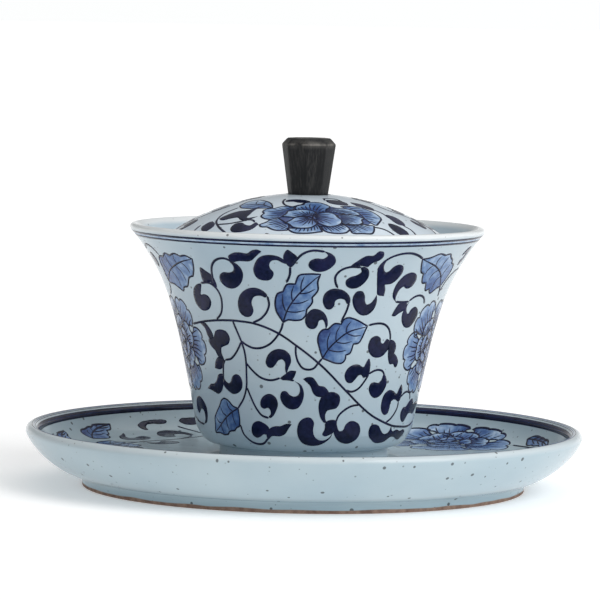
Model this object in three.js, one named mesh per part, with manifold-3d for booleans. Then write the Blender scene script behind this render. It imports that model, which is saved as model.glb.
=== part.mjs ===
// A gaiwan: a lidded porcelain tea bowl that stands on its own saucer.
// The lid carries an eight-sided wooden knob, held by a screw that comes up through the lid
// from below into a brass insert in the knob.
//
// Units are millimetres and +Z is up. The origin is the centre of the saucer's foot, on the
// surface that the saucer stands on. Every piece is centred on the Z axis.
//
// Each turned piece is a half profile of (radius, height) points, turned about Z. A profile
// runs outwards along the underside, up the outside, over the rim and back down the inside.

import * as THREE from 'three';
import { mergeVertices } from 'three/addons/utils/BufferGeometryUtils.js';
import Module from 'manifold-3d';

function point(radius, height) {
  return new THREE.Vector2(radius, height);
}

// ---- Driving dimensions ----------------------------------------------------------------

const TURNED_SEGMENTS = 48; // facets round each porcelain piece
const SMALL_SEGMENTS = 24; // facets round each washer, the insert and the screw
const CONTACT_GAP = 0.1; // between two pieces that rest against each other
const MERGE_TOLERANCE = 1e-4;

// Steps along each curved run of a profile.
const STEPS = { underside: 6, belly: 5, wall: 9, dome: 7, lip: 4, lipInside: 3, edge: 8, screw: 3 };

// Where a profile runs in a curve, its two middle points are that Bezier curve's controls.
const SAUCER = {
  footInnerRadius: 58.2,
  footOuterRadius: 61.4,
  footEdge: 0.3, // small round on the foot's unglazed edges
  footTop: point(63.6, 3.3), // where the foot runs into the underside
  undersideControls: [point(67.2, 4), point(75, 9)],
  recessHeight: 3.4, // ceiling of the hollow inside the foot
  widest: point(77.15, 14.8),
  lipControls: [point(77.3, 15.2), point(76.9, 16.7)],
  rimTop: point(75.7, 16.7),
  lipInsideControls: [point(74.9, 16.7), point(74.2, 16.3)],
  rimInner: point(73.9, 15.7),
  insideControls: [point(71.5, 10.4), point(67.5, 8)],
  floorRadius: 61,
  floorHeight: 8,
  wellRadius: 26.5, // shallow well that keeps the bowl's foot in the middle
  wellDepth: 0.7,
};

const BOWL = {
  footInnerRadius: 20.4,
  footOuterRadius: 23.4,
  footEdge: 0.4,
  footDepth: 3.6, // height of the foot ring round its hollow
  bellyStart: point(23.4, 11.8), // the belly leaves the foot ring here
  bellyControls: [point(27.04, 12.75), point(27.52, 12.12)],
  wallStart: point(30, 17),
  wallControls: [point(35.92, 47.96), point(37.81, 57.45)],
  wallEnd: point(48.5, 70.8),
  lipControls: [point(49.5, 71.7), point(49.2, 72.8)],
  rimTop: point(47.8, 72.8),
  lipInsideControls: [point(47.3, 72.8), point(47.05, 72.4)],
  wallAtFoot: 3, // wall thickness at the belly
  wallAtRim: 2.3, // wall thickness at the rim
  bendControls: [point(26.6, 15.7), point(23.5, 14.6)], // from the inner wall down to the floor
  floorRadius: 17,
  floorHeight: 14.6,
};

const LID = {
  crownRadius: 69, // radius of the outer dome
  crownTop: 81.6, // height of the dome's top, before the knob's seat is cut
  thickness: 2.8,
  edgeRadius: 42, // widest radius of the rounded edge, which sits on the bowl's wall
  seatRadius: 6.2, // shallow flat recess that the knob stands in
  seatHeight: 81,
  seatEdge: 0.2, // how far the recess's side leans in
  innerSeatRadius: 7.2, // flat under the crown that the seal presses on
  innerSeatHeight: 78.2,
  screwHoleRadius: 2.3,
};

const KNOB = {
  sides: 8,
  turn: THREE.MathUtils.degToRad(-6), // one upright edge faces the front, a little to the left
  bottomRadius: 5.6, // to the corners
  topRadius: 7.6,
  chamferRadius: 6,
  chamferHeight: 1.7,
  height: 15.8,
  boreRadius: 3.1,
  boreDepth: 9.4,
};

const INSERT = {
  radius: 3,
  boreRadius: 2.05,
  length: 8.9,
  sunk: 0.3, // how far its end lies inside the knob's bore
  grooveDepth: 0.4,
  grooveLength: 1.6,
};

const SEAL = { radius: 6.6, thickness: 1.2 };

const WASHER = { radius: 5, thickness: 1 };

const SCREW = {
  shankRadius: 1.95,
  headRadius: 3.9,
  headHeight: 2.3,
  headRound: 1.1,
  headBulge: 0.2, // how near the round comes to a sharp corner: 0 would be sharp
  reach: 13.3, // from under the head to the tip
  tipChamfer: 0.6,
  recessWidth: 1,
  recessSpan: 4.2,
  recessDepth: 1.4,
};

// ---- Materials --------------------------------------------------------------------------

function material(color, roughness, metalness) {
  return new THREE.MeshStandardMaterial({ color, roughness, metalness });
}

const glaze = material(0xb9cad3, 0.18, 0);
const stainedWood = material(0x303235, 0.55, 0);
const brass = material(0xc2a25a, 0.35, 1);
const steel = material(0xb8bbbe, 0.3, 1);
const silicone = material(0xe6e6df, 0.6, 0);

// ---- Profiles ---------------------------------------------------------------------------

function bezier(start, controls, end, divisions) {
  return new THREE.CubicBezierCurve(start, ...controls, end).getPoints(divisions);
}

// Joins runs of points, leaving out the points where one run starts on the last one's end.
function joined(...runs) {
  const same = (a, b) => b !== undefined && a.distanceTo(b) < MERGE_TOLERANCE;
  return runs.flat().filter((p, i, all) => !same(p, all[i - 1]));
}

// The ring that a piece stands on: its hollow, its inner wall, its sole and its outer edge.
function footRing(inner, outer, base, hollowHeight, edge) {
  return [
    point(0, hollowHeight),
    point(inner - edge, hollowHeight),
    point(inner, base + edge),
    point(inner + edge, base),
    point(outer - edge, base),
    point(outer, base + edge),
  ];
}

function saucerProfile() {
  const s = SAUCER;
  const foot = footRing(s.footInnerRadius, s.footOuterRadius, 0, s.recessHeight, s.footEdge);
  const underside = bezier(s.footTop, s.undersideControls, s.widest, STEPS.underside);
  const lip = bezier(s.widest, s.lipControls, s.rimTop, STEPS.lip);
  const lipInside = bezier(s.rimTop, s.lipInsideControls, s.rimInner, STEPS.lipInside);
  const floorEdge = point(s.floorRadius, s.floorHeight);
  const inside = bezier(s.rimInner, s.insideControls, floorEdge, STEPS.underside);
  const well = [
    point(s.wellRadius + s.wellDepth, s.floorHeight),
    point(s.wellRadius, s.floorHeight - s.wellDepth),
    point(0, s.floorHeight - s.wellDepth),
  ];
  return joined(foot, underside, lip, lipInside, inside, well);
}

const bowlWall = new THREE.CubicBezierCurve(BOWL.wallStart, ...BOWL.wallControls, BOWL.wallEnd);

// A point of the bowl's inner surface, level with the outer wall's point at t.
function bowlInside(t) {
  const thickness = THREE.MathUtils.lerp(BOWL.wallAtFoot, BOWL.wallAtRim, t);
  const along = bowlWall.getTangent(t);
  return bowlWall.getPoint(t).add(point(-along.y, along.x).multiplyScalar(thickness));
}

function bowlProfile() {
  const b = BOWL;
  const base = SAUCER.floorHeight - SAUCER.wellDepth + CONTACT_GAP;
  const foot = footRing(b.footInnerRadius, b.footOuterRadius, base, base + b.footDepth, b.footEdge);
  const belly = bezier(b.bellyStart, b.bellyControls, b.wallStart, STEPS.belly);
  const wall = bowlWall.getPoints(STEPS.wall);
  const lip = bezier(b.wallEnd, b.lipControls, b.rimTop, STEPS.lip);
  const lipInside = bezier(b.rimTop, b.lipInsideControls, bowlInside(1), STEPS.lipInside);
  const inside = [];
  for (let i = STEPS.wall; i >= 0; i--) inside.push(bowlInside(i / STEPS.wall));
  const floorEdge = point(b.floorRadius, b.floorHeight);
  const bend = bezier(bowlInside(0), b.bendControls, floorEdge, STEPS.lip);
  return joined(foot, belly, wall, lip, lipInside, inside, bend, [point(0, b.floorHeight)]);
}

// The point of a circle about `centre` at an angle measured from straight up.
function onCircle(centre, radius, angle) {
  return point(radius * Math.sin(angle), radius * Math.cos(angle)).add(centre);
}

function arc(centre, radius, from, to, divisions) {
  const points = [];
  for (let i = 0; i <= divisions; i++) {
    points.push(onCircle(centre, radius, THREE.MathUtils.lerp(from, to, i / divisions)));
  }
  return points;
}

// The lid is a ring in section, because the screw hole runs through its crown.
function lidProfile() {
  const l = LID;
  const half = l.thickness / 2;
  const centre = point(0, l.crownTop - l.crownRadius);
  const innerRadius = l.crownRadius - l.thickness;
  const middleRadius = l.crownRadius - half;
  const edgeAngle = Math.asin((l.edgeRadius - half) / middleRadius);
  const innerSeatAngle = Math.asin(l.innerSeatRadius / innerRadius);
  const seatAngle = Math.asin(l.seatRadius / l.crownRadius);
  const edgeCentre = onCircle(centre, middleRadius, edgeAngle);
  const holeStart = point(l.screwHoleRadius, l.innerSeatHeight);
  const innerSeat = [holeStart, point(l.innerSeatRadius, l.innerSeatHeight)];
  const underside = arc(centre, innerRadius, innerSeatAngle, edgeAngle, STEPS.dome);
  const edge = arc(edgeCentre, half, edgeAngle + Math.PI, edgeAngle, STEPS.edge);
  const crown = arc(centre, l.crownRadius, edgeAngle, seatAngle, STEPS.dome);
  const seat = [
    point(l.seatRadius - l.seatEdge, l.seatHeight),
    point(l.screwHoleRadius, l.seatHeight),
  ];
  return joined(innerSeat, underside, edge, crown, seat, [holeStart]);
}

// A flat ring between two radii and two heights.
function ringProfile(inner, outer, bottom, top) {
  return [
    point(inner, bottom),
    point(outer, bottom),
    point(outer, top),
    point(inner, top),
    point(inner, bottom),
  ];
}

// ---- Solids -----------------------------------------------------------------------------

const wasm = await Module();
wasm.setup();

function toSolid(geometry) {
  const bare = geometry.clone();
  bare.deleteAttribute('normal');
  bare.deleteAttribute('uv');
  const merged = mergeVertices(bare, MERGE_TOLERANCE);
  return new wasm.Manifold(
    new wasm.Mesh({
      numProp: 3,
      vertProperties: merged.attributes.position.array,
      triVerts: new Uint32Array(merged.index.array),
    }),
  );
}

function toGeometry(solid) {
  const { vertProperties, triVerts } = solid.getMesh();
  const geometry = new THREE.BufferGeometry();
  geometry.setAttribute('position', new THREE.BufferAttribute(vertProperties, 3));
  geometry.setIndex(new THREE.BufferAttribute(triVerts, 1));
  geometry.computeVertexNormals();
  return geometry;
}

// Turns a profile about Z.
function turned(profile, segments, startAngle = 0) {
  return new THREE.LatheGeometry(profile, segments, startAngle).rotateX(Math.PI / 2);
}

function piece(name, geometry, look) {
  const mesh = new THREE.Mesh(geometry, look);
  mesh.name = name;
  return mesh;
}

function makeSaucer() {
  return piece('saucer', turned(saucerProfile(), TURNED_SEGMENTS), glaze);
}

function makeBowl() {
  return piece('bowl', turned(bowlProfile(), TURNED_SEGMENTS), glaze.clone());
}

function makeLid() {
  return piece('lid', turned(lidProfile(), TURNED_SEGMENTS), glaze.clone());
}

// An eight-sided block that widens upwards, chamfered round its top and bored from below.
function makeKnob() {
  const k = KNOB;
  const base = LID.seatHeight + CONTACT_GAP;
  const top = base + k.height;
  const outline = [
    point(0, base),
    point(k.bottomRadius, base),
    point(k.topRadius, top - k.chamferHeight),
    point(k.chamferRadius, top),
    point(0, top),
  ];
  const bore = new THREE.CylinderGeometry(
    k.boreRadius,
    k.boreRadius,
    2 * k.boreDepth,
    SMALL_SEGMENTS,
  );
  bore.rotateX(Math.PI / 2).translate(0, 0, base);
  const block = toSolid(turned(outline, k.sides, k.turn));
  return piece('knob', toGeometry(block.subtract(toSolid(bore))), stainedWood);
}

// A brass sleeve with a groove round its middle, sunk a little into the knob.
function makeInsert() {
  const n = INSERT;
  const bottom = LID.seatHeight + n.sunk;
  const top = bottom + n.length;
  const middle = (bottom + top) / 2;
  const groove = n.radius - n.grooveDepth;
  const profile = [
    point(n.boreRadius, bottom),
    point(n.radius, bottom),
    point(n.radius, middle - n.grooveLength / 2),
    point(groove, middle - n.grooveLength / 2 + n.grooveDepth),
    point(groove, middle + n.grooveLength / 2 - n.grooveDepth),
    point(n.radius, middle + n.grooveLength / 2),
    point(n.radius, top),
    point(n.boreRadius, top),
    point(n.boreRadius, bottom),
  ];
  return piece('knob_insert', turned(profile, SMALL_SEGMENTS), brass);
}

const sealTop = LID.innerSeatHeight - CONTACT_GAP;
const washerTop = sealTop - SEAL.thickness - CONTACT_GAP;
const headTop = washerTop - WASHER.thickness - CONTACT_GAP;

function makeSeal() {
  const profile = ringProfile(LID.screwHoleRadius, SEAL.radius, sealTop - SEAL.thickness, sealTop);
  return piece('seal_washer', turned(profile, SMALL_SEGMENTS), silicone);
}

function makeWasher() {
  const bottom = washerTop - WASHER.thickness;
  const profile = ringProfile(LID.screwHoleRadius, WASHER.radius, bottom, washerTop);
  return piece('screw_washer', turned(profile, SMALL_SEGMENTS), steel.clone());
}

// A pan-head screw, head down, with a cross recess in the head.
function makeScrew() {
  const s = SCREW;
  const headBottom = headTop - s.headHeight;
  const tip = headTop + s.reach;
  const flat = point(s.headRadius - s.headRound, headBottom);
  const side = point(s.headRadius, headBottom + s.headRound);
  const inset = s.headBulge * s.headRound;
  const roundCorner = point(s.headRadius - inset, headBottom + inset);
  const profile = joined(
    [point(0, headBottom)],
    bezier(flat, [roundCorner, roundCorner], side, STEPS.screw),
    [
      point(s.headRadius, headTop),
      point(s.shankRadius, headTop),
      point(s.shankRadius, tip - s.tipChamfer),
      point(s.shankRadius - s.tipChamfer, tip),
      point(0, tip),
    ],
  );
  let solid = toSolid(turned(profile, SMALL_SEGMENTS));
  for (const quarter of [0, Math.PI / 2]) {
    const slot = new THREE.BoxGeometry(s.recessSpan, s.recessWidth, 2 * s.recessDepth);
    slot.rotateZ(quarter).translate(0, 0, headBottom);
    solid = solid.subtract(toSolid(slot));
  }
  return piece('knob_screw', toGeometry(solid), steel);
}

// ---- The gaiwan -------------------------------------------------------------------------

const lidGroup = new THREE.Group();
lidGroup.add(makeLid(), makeKnob(), makeInsert(), makeSeal(), makeWasher(), makeScrew());

const gaiwan = new THREE.Group();
gaiwan.add(makeSaucer(), makeBowl(), lidGroup);

export default gaiwan;
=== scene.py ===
"""A gaiwan: a lidded porcelain tea bowl on its saucer, with blue painting and a wooden knob.

The CAD pieces are the fixed frame. Each porcelain piece gets a finely turned shell of the same
profile, and the painting lies on it as thin raised layers of colour, drawn stroke by stroke.
Drawing is in millimetres on a flat sheet, which each surface then wraps round its piece.
"""
import math
import random

import bpy
from mathutils import Matrix, Vector, geometry


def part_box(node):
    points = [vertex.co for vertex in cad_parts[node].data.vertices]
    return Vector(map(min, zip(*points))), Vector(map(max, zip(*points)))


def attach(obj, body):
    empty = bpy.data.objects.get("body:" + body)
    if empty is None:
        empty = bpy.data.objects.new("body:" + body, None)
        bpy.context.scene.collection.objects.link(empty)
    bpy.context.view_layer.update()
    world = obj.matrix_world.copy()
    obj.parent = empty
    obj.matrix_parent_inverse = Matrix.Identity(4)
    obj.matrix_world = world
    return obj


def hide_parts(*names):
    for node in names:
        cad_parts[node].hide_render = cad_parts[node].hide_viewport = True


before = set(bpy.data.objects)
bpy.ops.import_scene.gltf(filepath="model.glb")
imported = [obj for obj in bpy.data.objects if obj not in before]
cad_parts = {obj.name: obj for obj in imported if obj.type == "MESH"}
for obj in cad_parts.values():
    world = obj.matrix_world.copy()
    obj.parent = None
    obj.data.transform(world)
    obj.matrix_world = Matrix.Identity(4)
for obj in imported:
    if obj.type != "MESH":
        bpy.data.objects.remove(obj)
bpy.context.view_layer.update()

MM = 0.001
TURNS = 256  # facets round each porcelain shell
TAU = 2 * math.pi
TINY = 1e-6  # a length this small counts as none, and stands in for none
CURVE_STEP = 0.5  # the most between the points of a drawn curve


# ---- Curves ------------------------------------------------------------------------------

def bezier(a, b, c, d, steps):
    """Points of a Bezier curve from a to d, without a itself."""
    points = []
    for i in range(1, steps + 1):
        t = i / steps
        s = 1 - t
        weights = (s ** 3, 3 * s * s * t, 3 * s * t * t, t ** 3)
        pairs = list(zip(weights, (a, b, c, d)))
        points.append((sum(w * p[0] for w, p in pairs), sum(w * p[1] for w, p in pairs)))
    return points


def straight(a, b, steps):
    """Points from a to b, without a itself."""
    points = []
    for i in range(1, steps + 1):
        t = i / steps
        points.append((a[0] + (b[0] - a[0]) * t, a[1] + (b[1] - a[1]) * t))
    return points


def arc(centre, radius, start, end, steps):
    """Points of a circle, by angles in radians from straight up."""
    points = []
    for i in range(steps + 1):
        angle = start + (end - start) * i / steps
        x = centre[0] + radius * math.sin(angle)
        y = centre[1] + radius * math.cos(angle)
        points.append((x, y))
    return points


def distance(a, b):
    return math.hypot(b[0] - a[0], b[1] - a[1])


def slopes(run, closed):
    """A tangent at each point of a run, weighted by how near its neighbours are."""
    count = len(run)
    result = []
    for i, p in enumerate(run):
        before = run[(i - 1) % count] if closed or i else None
        after = run[(i + 1) % count] if closed or i < count - 1 else None
        if before is None or after is None:
            near = after or before
            sign = 1 if after else -1
            gap = distance(p, near) or 1
            result.append([sign * (near[k] - p[k]) / gap for k in (0, 1)])
            continue
        d0 = distance(before, p) or TINY
        d1 = distance(p, after) or TINY
        tangent = []
        for k in (0, 1):
            tangent.append(((p[k] - before[k]) / d0 * d1 + (after[k] - p[k]) / d1 * d0) / (d0 + d1))
        result.append(tangent)
    return result


def spline(run, closed):
    """A smooth curve through a run of points, sampled about every CURVE_STEP."""
    tangents = slopes(run, closed)
    count = len(run)
    points = []
    for i in range(count if closed else count - 1):
        a = run[i]
        b = run[(i + 1) % count]
        m0 = tangents[i]
        m1 = tangents[(i + 1) % count]
        length = distance(a, b)
        steps = max(1, math.ceil(length / CURVE_STEP))
        for j in range(steps):
            t = j / steps
            h00 = 2 * t ** 3 - 3 * t ** 2 + 1
            h10 = t ** 3 - 2 * t ** 2 + t
            h01 = 3 * t ** 2 - 2 * t ** 3
            h11 = t ** 3 - t ** 2
            point = []
            for k in (0, 1):
                point.append(h00 * a[k] + h10 * length * m0[k] + h01 * b[k] + h11 * length * m1[k])
            points.append(tuple(point))
    if not closed:
        points.append(tuple(run[-1][:2]))
    return points


def smooth(points, closed=True):
    """A smooth curve through drawn points. A point with a third value is a sharp corner."""
    corners = [i for i, p in enumerate(points) if len(p) > 2]
    if not closed:
        stops = sorted({0, *corners, len(points) - 1})
        runs = [points[a:b + 1] for a, b in zip(stops, stops[1:])]
    elif not corners:
        return spline(points, True)
    else:
        from_corner = points[corners[0]:] + points[:corners[0]] + [points[corners[0]]]
        stops = [i for i, p in enumerate(from_corner) if len(p) > 2]
        runs = [from_corner[a:b + 1] for a, b in zip(stops, stops[1:])]
    curve = []
    for run in runs:
        curve += spline(run, False)[:-1]
    if not closed:
        curve.append(tuple(points[-1][:2]))
    return curve


# ---- Profiles of the porcelain, in (radius, height) ---------------------------------------

def foot(inner, outer, base, hollow, edge):
    """The ring that a piece stands on, from the middle of its hollow to its outer edge."""
    ceiling = inner - edge
    points = [(0, hollow)]
    points += straight((0, hollow), (ceiling - 1, hollow), 6)
    points += bezier((ceiling - 1, hollow), (ceiling, hollow), (ceiling, hollow),
                     (ceiling + 0.1, hollow - 1), 6)
    points += straight((ceiling + 0.1, hollow - 1), (inner, base + edge), 3)
    points += bezier((inner, base + edge), (inner + 0.05, base), (inner + 0.05, base),
                     (inner + edge, base), 5)
    points += straight((inner + edge, base), (outer - edge, base), 3)
    points += bezier((outer - edge, base), (outer - 0.05, base), (outer - 0.05, base),
                     (outer, base + edge), 5)
    return points


SAUCER_LIP = ((75.7, 16.7), (74.9, 16.7), (74.2, 16.3), (73.9, 15.7))
SAUCER_INSIDE = ((73.9, 15.7), (71.5, 10.4), (67.5, 8), (61, 8))
SAUCER_WELL = 26.5  # radius of the shallow well under the bowl
BOWL_WALL = ((30, 17), (35.92, 47.96), (37.81, 57.45), (48.5, 70.8))
BOWL_BELLY = ((23.4, 11.8), (27.04, 12.75), (27.52, 12.12), (30, 17))
BOWL_LIP = ((48.5, 70.8), (49.5, 71.7), (49.2, 72.8), (47.8, 72.8))
BOWL_AT_FOOT = 3.0  # thickness of the wall at its bottom
BOWL_AT_RIM = 2.3
BOWL_FLOOR = 14.6  # height of the inside
LID_CENTRE = (0, 12.6)  # of the dome's circle
LID_RADIUS = 69  # of the same circle
LID_THICKNESS = 2.8
LID_EDGE = 42  # widest radius
LID_SEAT = 81  # height of the flat under the knob
LID_UNDER = 78.2  # height of the flat over the seal
LID_HOLE = 2.3  # radius of the screw hole, here and in the washers


def saucer_profile():
    points = foot(inner=58.2, outer=61.4, base=0, hollow=3.4, edge=0.3)
    points += straight((61.4, 0.3), (61.6, 1.9), 3)
    points += bezier((61.6, 1.9), (61.9, 2.9), (62.4, 3.1), (63.6, 3.3), 6)
    points += bezier((63.6, 3.3), (67.2, 4), (75, 9), (77.15, 14.8), 28)
    points += bezier((77.15, 14.8), (77.3, 15.2), (76.9, 16.7), (75.7, 16.7), 14)
    points += bezier(*SAUCER_LIP, 8)
    points += bezier(*SAUCER_INSIDE, 28)
    points += straight((61, 8), (SAUCER_WELL + 1.7, 8), 12)
    well = SAUCER_WELL
    points += bezier((well + 1.7, 8), (well + 0.6, 8), (well + 0.6, 7.3), (well - 0.6, 7.3), 10)
    points += straight((well - 0.6, 7.3), (0, 7.3), 8)
    return points


def bowl_inside(wall):
    """The inner surface, from the rim down: the outer wall moved inwards by its thickness."""
    last = len(wall) - 1
    points = []
    for i, (r, z) in enumerate(wall):
        r0, z0 = wall[max(i - 1, 0)]
        r1, z1 = wall[min(i + 1, last)]
        along = math.hypot(r1 - r0, z1 - z0)
        thickness = BOWL_AT_FOOT + (BOWL_AT_RIM - BOWL_AT_FOOT) * i / last
        inward = (-(z1 - z0) / along * thickness, (r1 - r0) / along * thickness)
        points.append((r + inward[0], z + inward[1]))
    return points[::-1]


def bowl_profile():
    points = foot(inner=20.4, outer=23.4, base=7.4, hollow=11.0, edge=0.4)
    points += straight((23.4, 7.8), (23.4, 11.3), 5)
    points += bezier((23.4, 11.3), (23.4, 11.8), (23.6, 11.85), (24.1, 11.97), 4)
    points += [p for p in bezier(*BOWL_BELLY, 48) if p[0] > 24.2]
    wall = [BOWL_WALL[0]] + bezier(*BOWL_WALL, 60)
    points += wall[1:]
    points += bezier(*BOWL_LIP, 14)
    inside = bowl_inside(wall)
    points += bezier((47.8, 72.8), (47.3, 72.8), (47.05, 72.4), inside[0], 8)
    points += inside[1:]
    points += bezier(inside[-1], (26.6, 15.7), (23.5, BOWL_FLOOR), (17, BOWL_FLOOR), 12)
    points += straight((17, BOWL_FLOOR), (0, BOWL_FLOOR), 6)
    return points


def lid_profile():
    """A ring in section: the screw hole runs through the crown."""
    half = LID_THICKNESS / 2
    inner = LID_RADIUS - LID_THICKNESS
    middle = LID_RADIUS - half
    edge_angle = math.asin((LID_EDGE - half) / middle)
    edge_centre = arc(LID_CENTRE, middle, edge_angle, edge_angle, 1)[0]
    corner = (LID_HOLE, LID_UNDER)
    points = [corner]
    points += straight(corner, (7.2, LID_UNDER), 4)
    points += arc(LID_CENTRE, inner, math.asin(7.2 / inner), edge_angle, 36)[1:]
    points += arc(edge_centre, half, edge_angle + math.pi, edge_angle, 16)[1:-1]
    points += arc(LID_CENTRE, LID_RADIUS, edge_angle, math.asin(6.35 / LID_RADIUS), 40)
    points += bezier(points[-1], (6.15, 81.32), (6.15, LID_SEAT), (6.0, LID_SEAT), 6)
    points += straight((6.0, LID_SEAT), (LID_HOLE, LID_SEAT), 3)
    points += [corner]
    return points


# ---- Meshes --------------------------------------------------------------------------------

def new_object(name, points, faces, smooth_shaded=True):
    mesh = bpy.data.meshes.new(name)
    mesh.from_pydata(points, [], faces)
    mesh.validate()
    mesh.polygons.foreach_set("use_smooth", [smooth_shaded] * len(mesh.polygons))
    piece = bpy.data.objects.new(name, mesh)
    bpy.context.scene.collection.objects.link(piece)
    return piece


def turn(name, profile, segments=TURNS):
    """A closed mesh: (radius, height) points in millimetres turned about Z."""
    ring_profile = profile[0] == profile[-1]
    line = profile[:-1] if ring_profile else profile
    points = []
    rings = []
    for r, z in line:
        if r < TINY:
            rings.append([len(points)])
            points.append((0, 0, z * MM))
            continue
        rings.append(list(range(len(points), len(points) + segments)))
        for k in range(segments):
            angle = TAU * k / segments
            points.append((r * MM * math.cos(angle), r * MM * math.sin(angle), z * MM))
    pairs = list(zip(rings, rings[1:]))
    if ring_profile:
        pairs.append((rings[-1], rings[0]))
    faces = []
    for low, high in pairs:
        for k in range(segments):
            j = (k + 1) % segments
            if len(low) == 1:
                faces.append((low[0], high[j], high[k]))
            elif len(high) == 1:
                faces.append((low[k], low[j], high[0]))
            else:
                faces.append((low[k], low[j], high[j], high[k]))
    return new_object(name, points, faces)


def finish_piece(piece, body, slot, material, *stands_for):
    piece.data.materials.clear()
    piece.data.materials.append(material)
    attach(piece, body)
    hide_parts(*stands_for)


# ---- Surfaces that the painting is wrapped round -------------------------------------------

DEGREE = 0.66  # millimetres of drawing for one degree round the bowl
WALL_SPAN = (12.3, 72.4)  # heights between which the bowl's radius is looked up
DISH_SPAN = (30, 75.7)  # radii between which the saucer's height is looked up


def look_up(pairs, x):
    if x <= pairs[0][0]:
        return pairs[0][1]
    for (x0, y0), (x1, y1) in zip(pairs, pairs[1:]):
        if x <= x1:
            return y0 + (y1 - y0) * (x - x0) / ((x1 - x0) or 1)
    return pairs[-1][1]


class Table:
    """Pairs of numbers as a function, kept at even steps so that no call needs a search."""

    def __init__(self, pairs, span, steps=600):
        self.low, self.high = span
        pairs = sorted(pairs)
        size = self.high - self.low
        self.values = [look_up(pairs, self.low + size * i / steps) for i in range(steps + 1)]

    def __call__(self, x):
        place = (x - self.low) / (self.high - self.low) * (len(self.values) - 1)
        place = min(max(place, 0), len(self.values) - 1.001)
        i = int(place)
        return self.values[i] + (self.values[i + 1] - self.values[i]) * (place - i)

    def slope(self, x, step):
        return (self(x + step) - self(x - step)) / (2 * step)


class Wall:
    """The outside of the bowl. x is millimetres round from the front, y the height."""

    def __init__(self):
        line = [BOWL_BELLY[0]] + bezier(*BOWL_BELLY, 40) + bezier(*BOWL_WALL, 160)
        line += bezier(*BOWL_LIP, 30)[:12]
        self.radius = Table([(z, r) for r, z in line], WALL_SPAN)

    def __call__(self, x, y, lift):
        angle = math.radians(x / DEGREE)
        slope = self.radius.slope(y, 0.2)
        out = 1 / math.hypot(1, slope)
        r = self.radius(y) + lift * out
        z = y - lift * slope * out
        return Vector((r * math.sin(angle), -r * math.cos(angle), z)) * MM


def on_crown(x, y, lift):
    """The outside of the lid, seen from above."""
    z = math.sqrt(max(LID_RADIUS ** 2 - x * x - y * y, 1))
    scale = 1 + lift / LID_RADIUS
    return Vector((x * scale, y * scale, LID_CENTRE[1] + z * scale)) * MM


class Dish:
    """The inside of the saucer, seen from above."""

    def __init__(self):
        side = [SAUCER_INSIDE[0]] + bezier(*SAUCER_INSIDE, 60)
        lip = bezier(*SAUCER_LIP, 20)
        self.height = Table(side + lip + [(30, 8)], DISH_SPAN)

    def __call__(self, x, y, lift):
        r = math.hypot(x, y) or TINY
        slope = self.height.slope(r, 0.1)
        up = 1 / math.hypot(1, slope)
        inward = 1 - lift * slope * up / r
        return Vector((x * inward, y * inward, self.height(r) + lift * up)) * MM


# ---- Painting ------------------------------------------------------------------------------

# Millimetres above the glaze at which a layer is drawn
WASH_LIFT = 0.02
LINE_LIFT = 0.045
LAYER_STEP = 0.0006  # from one stroke to the next, and it starts again after LAYER_STEPS
LAYER_STEPS = 16
RING_STEP = 0.03  # from each ring of a flower's petals to the next one in
PETAL_STEP = 0.006  # from one petal to the next on the lid's flower

SHEET = 0.06  # thickness of a layer, inwards from where it is drawn (see band)
FILL_SPACING = 0.8  # between the points inside a filled outline
TIGHT_SPACING = 0.4  # the same where the surface bends sharply
TIGHT_BELOW = 19  # height under which the bowl bends sharply

# Widths of the dark lines
STEM_WIDTH = 0.6
PETAL_WIDTH = 0.5
LEAF_WIDTH = 0.46
MIDRIB_WIDTH = 0.44
HATCH_WIDTH = 0.36
VEIN_WIDTH = 0.33


def inside(point, outline):
    x, y = point
    result = False
    for (x0, y0), (x1, y1) in zip(outline, outline[1:] + outline[:1]):
        if (y0 > y) != (y1 > y) and x < x0 + (x1 - x0) * (y - y0) / (y1 - y0):
            result = not result
    return result


def triangles(outline, spacing):
    """Fills an outline with triangles small enough to follow a curved surface."""
    xs = [p[0] for p in outline]
    ys = [p[1] for p in outline]
    points = [Vector(p) for p in outline]
    row = 0
    y = min(ys) + spacing / 2
    while y < max(ys):
        x = min(xs) + spacing / 2 * (row % 2)
        while x < max(xs):
            if inside((x, y), outline):
                points.append(Vector((x, y)))
            x += spacing
        y += spacing
        row += 1
    ring = [list(range(len(outline)))]
    coords, _, faces, _, _, _ = geometry.delaunay_2d_cdt(points, [], ring, 1, 1e-4)
    return coords, faces


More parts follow.
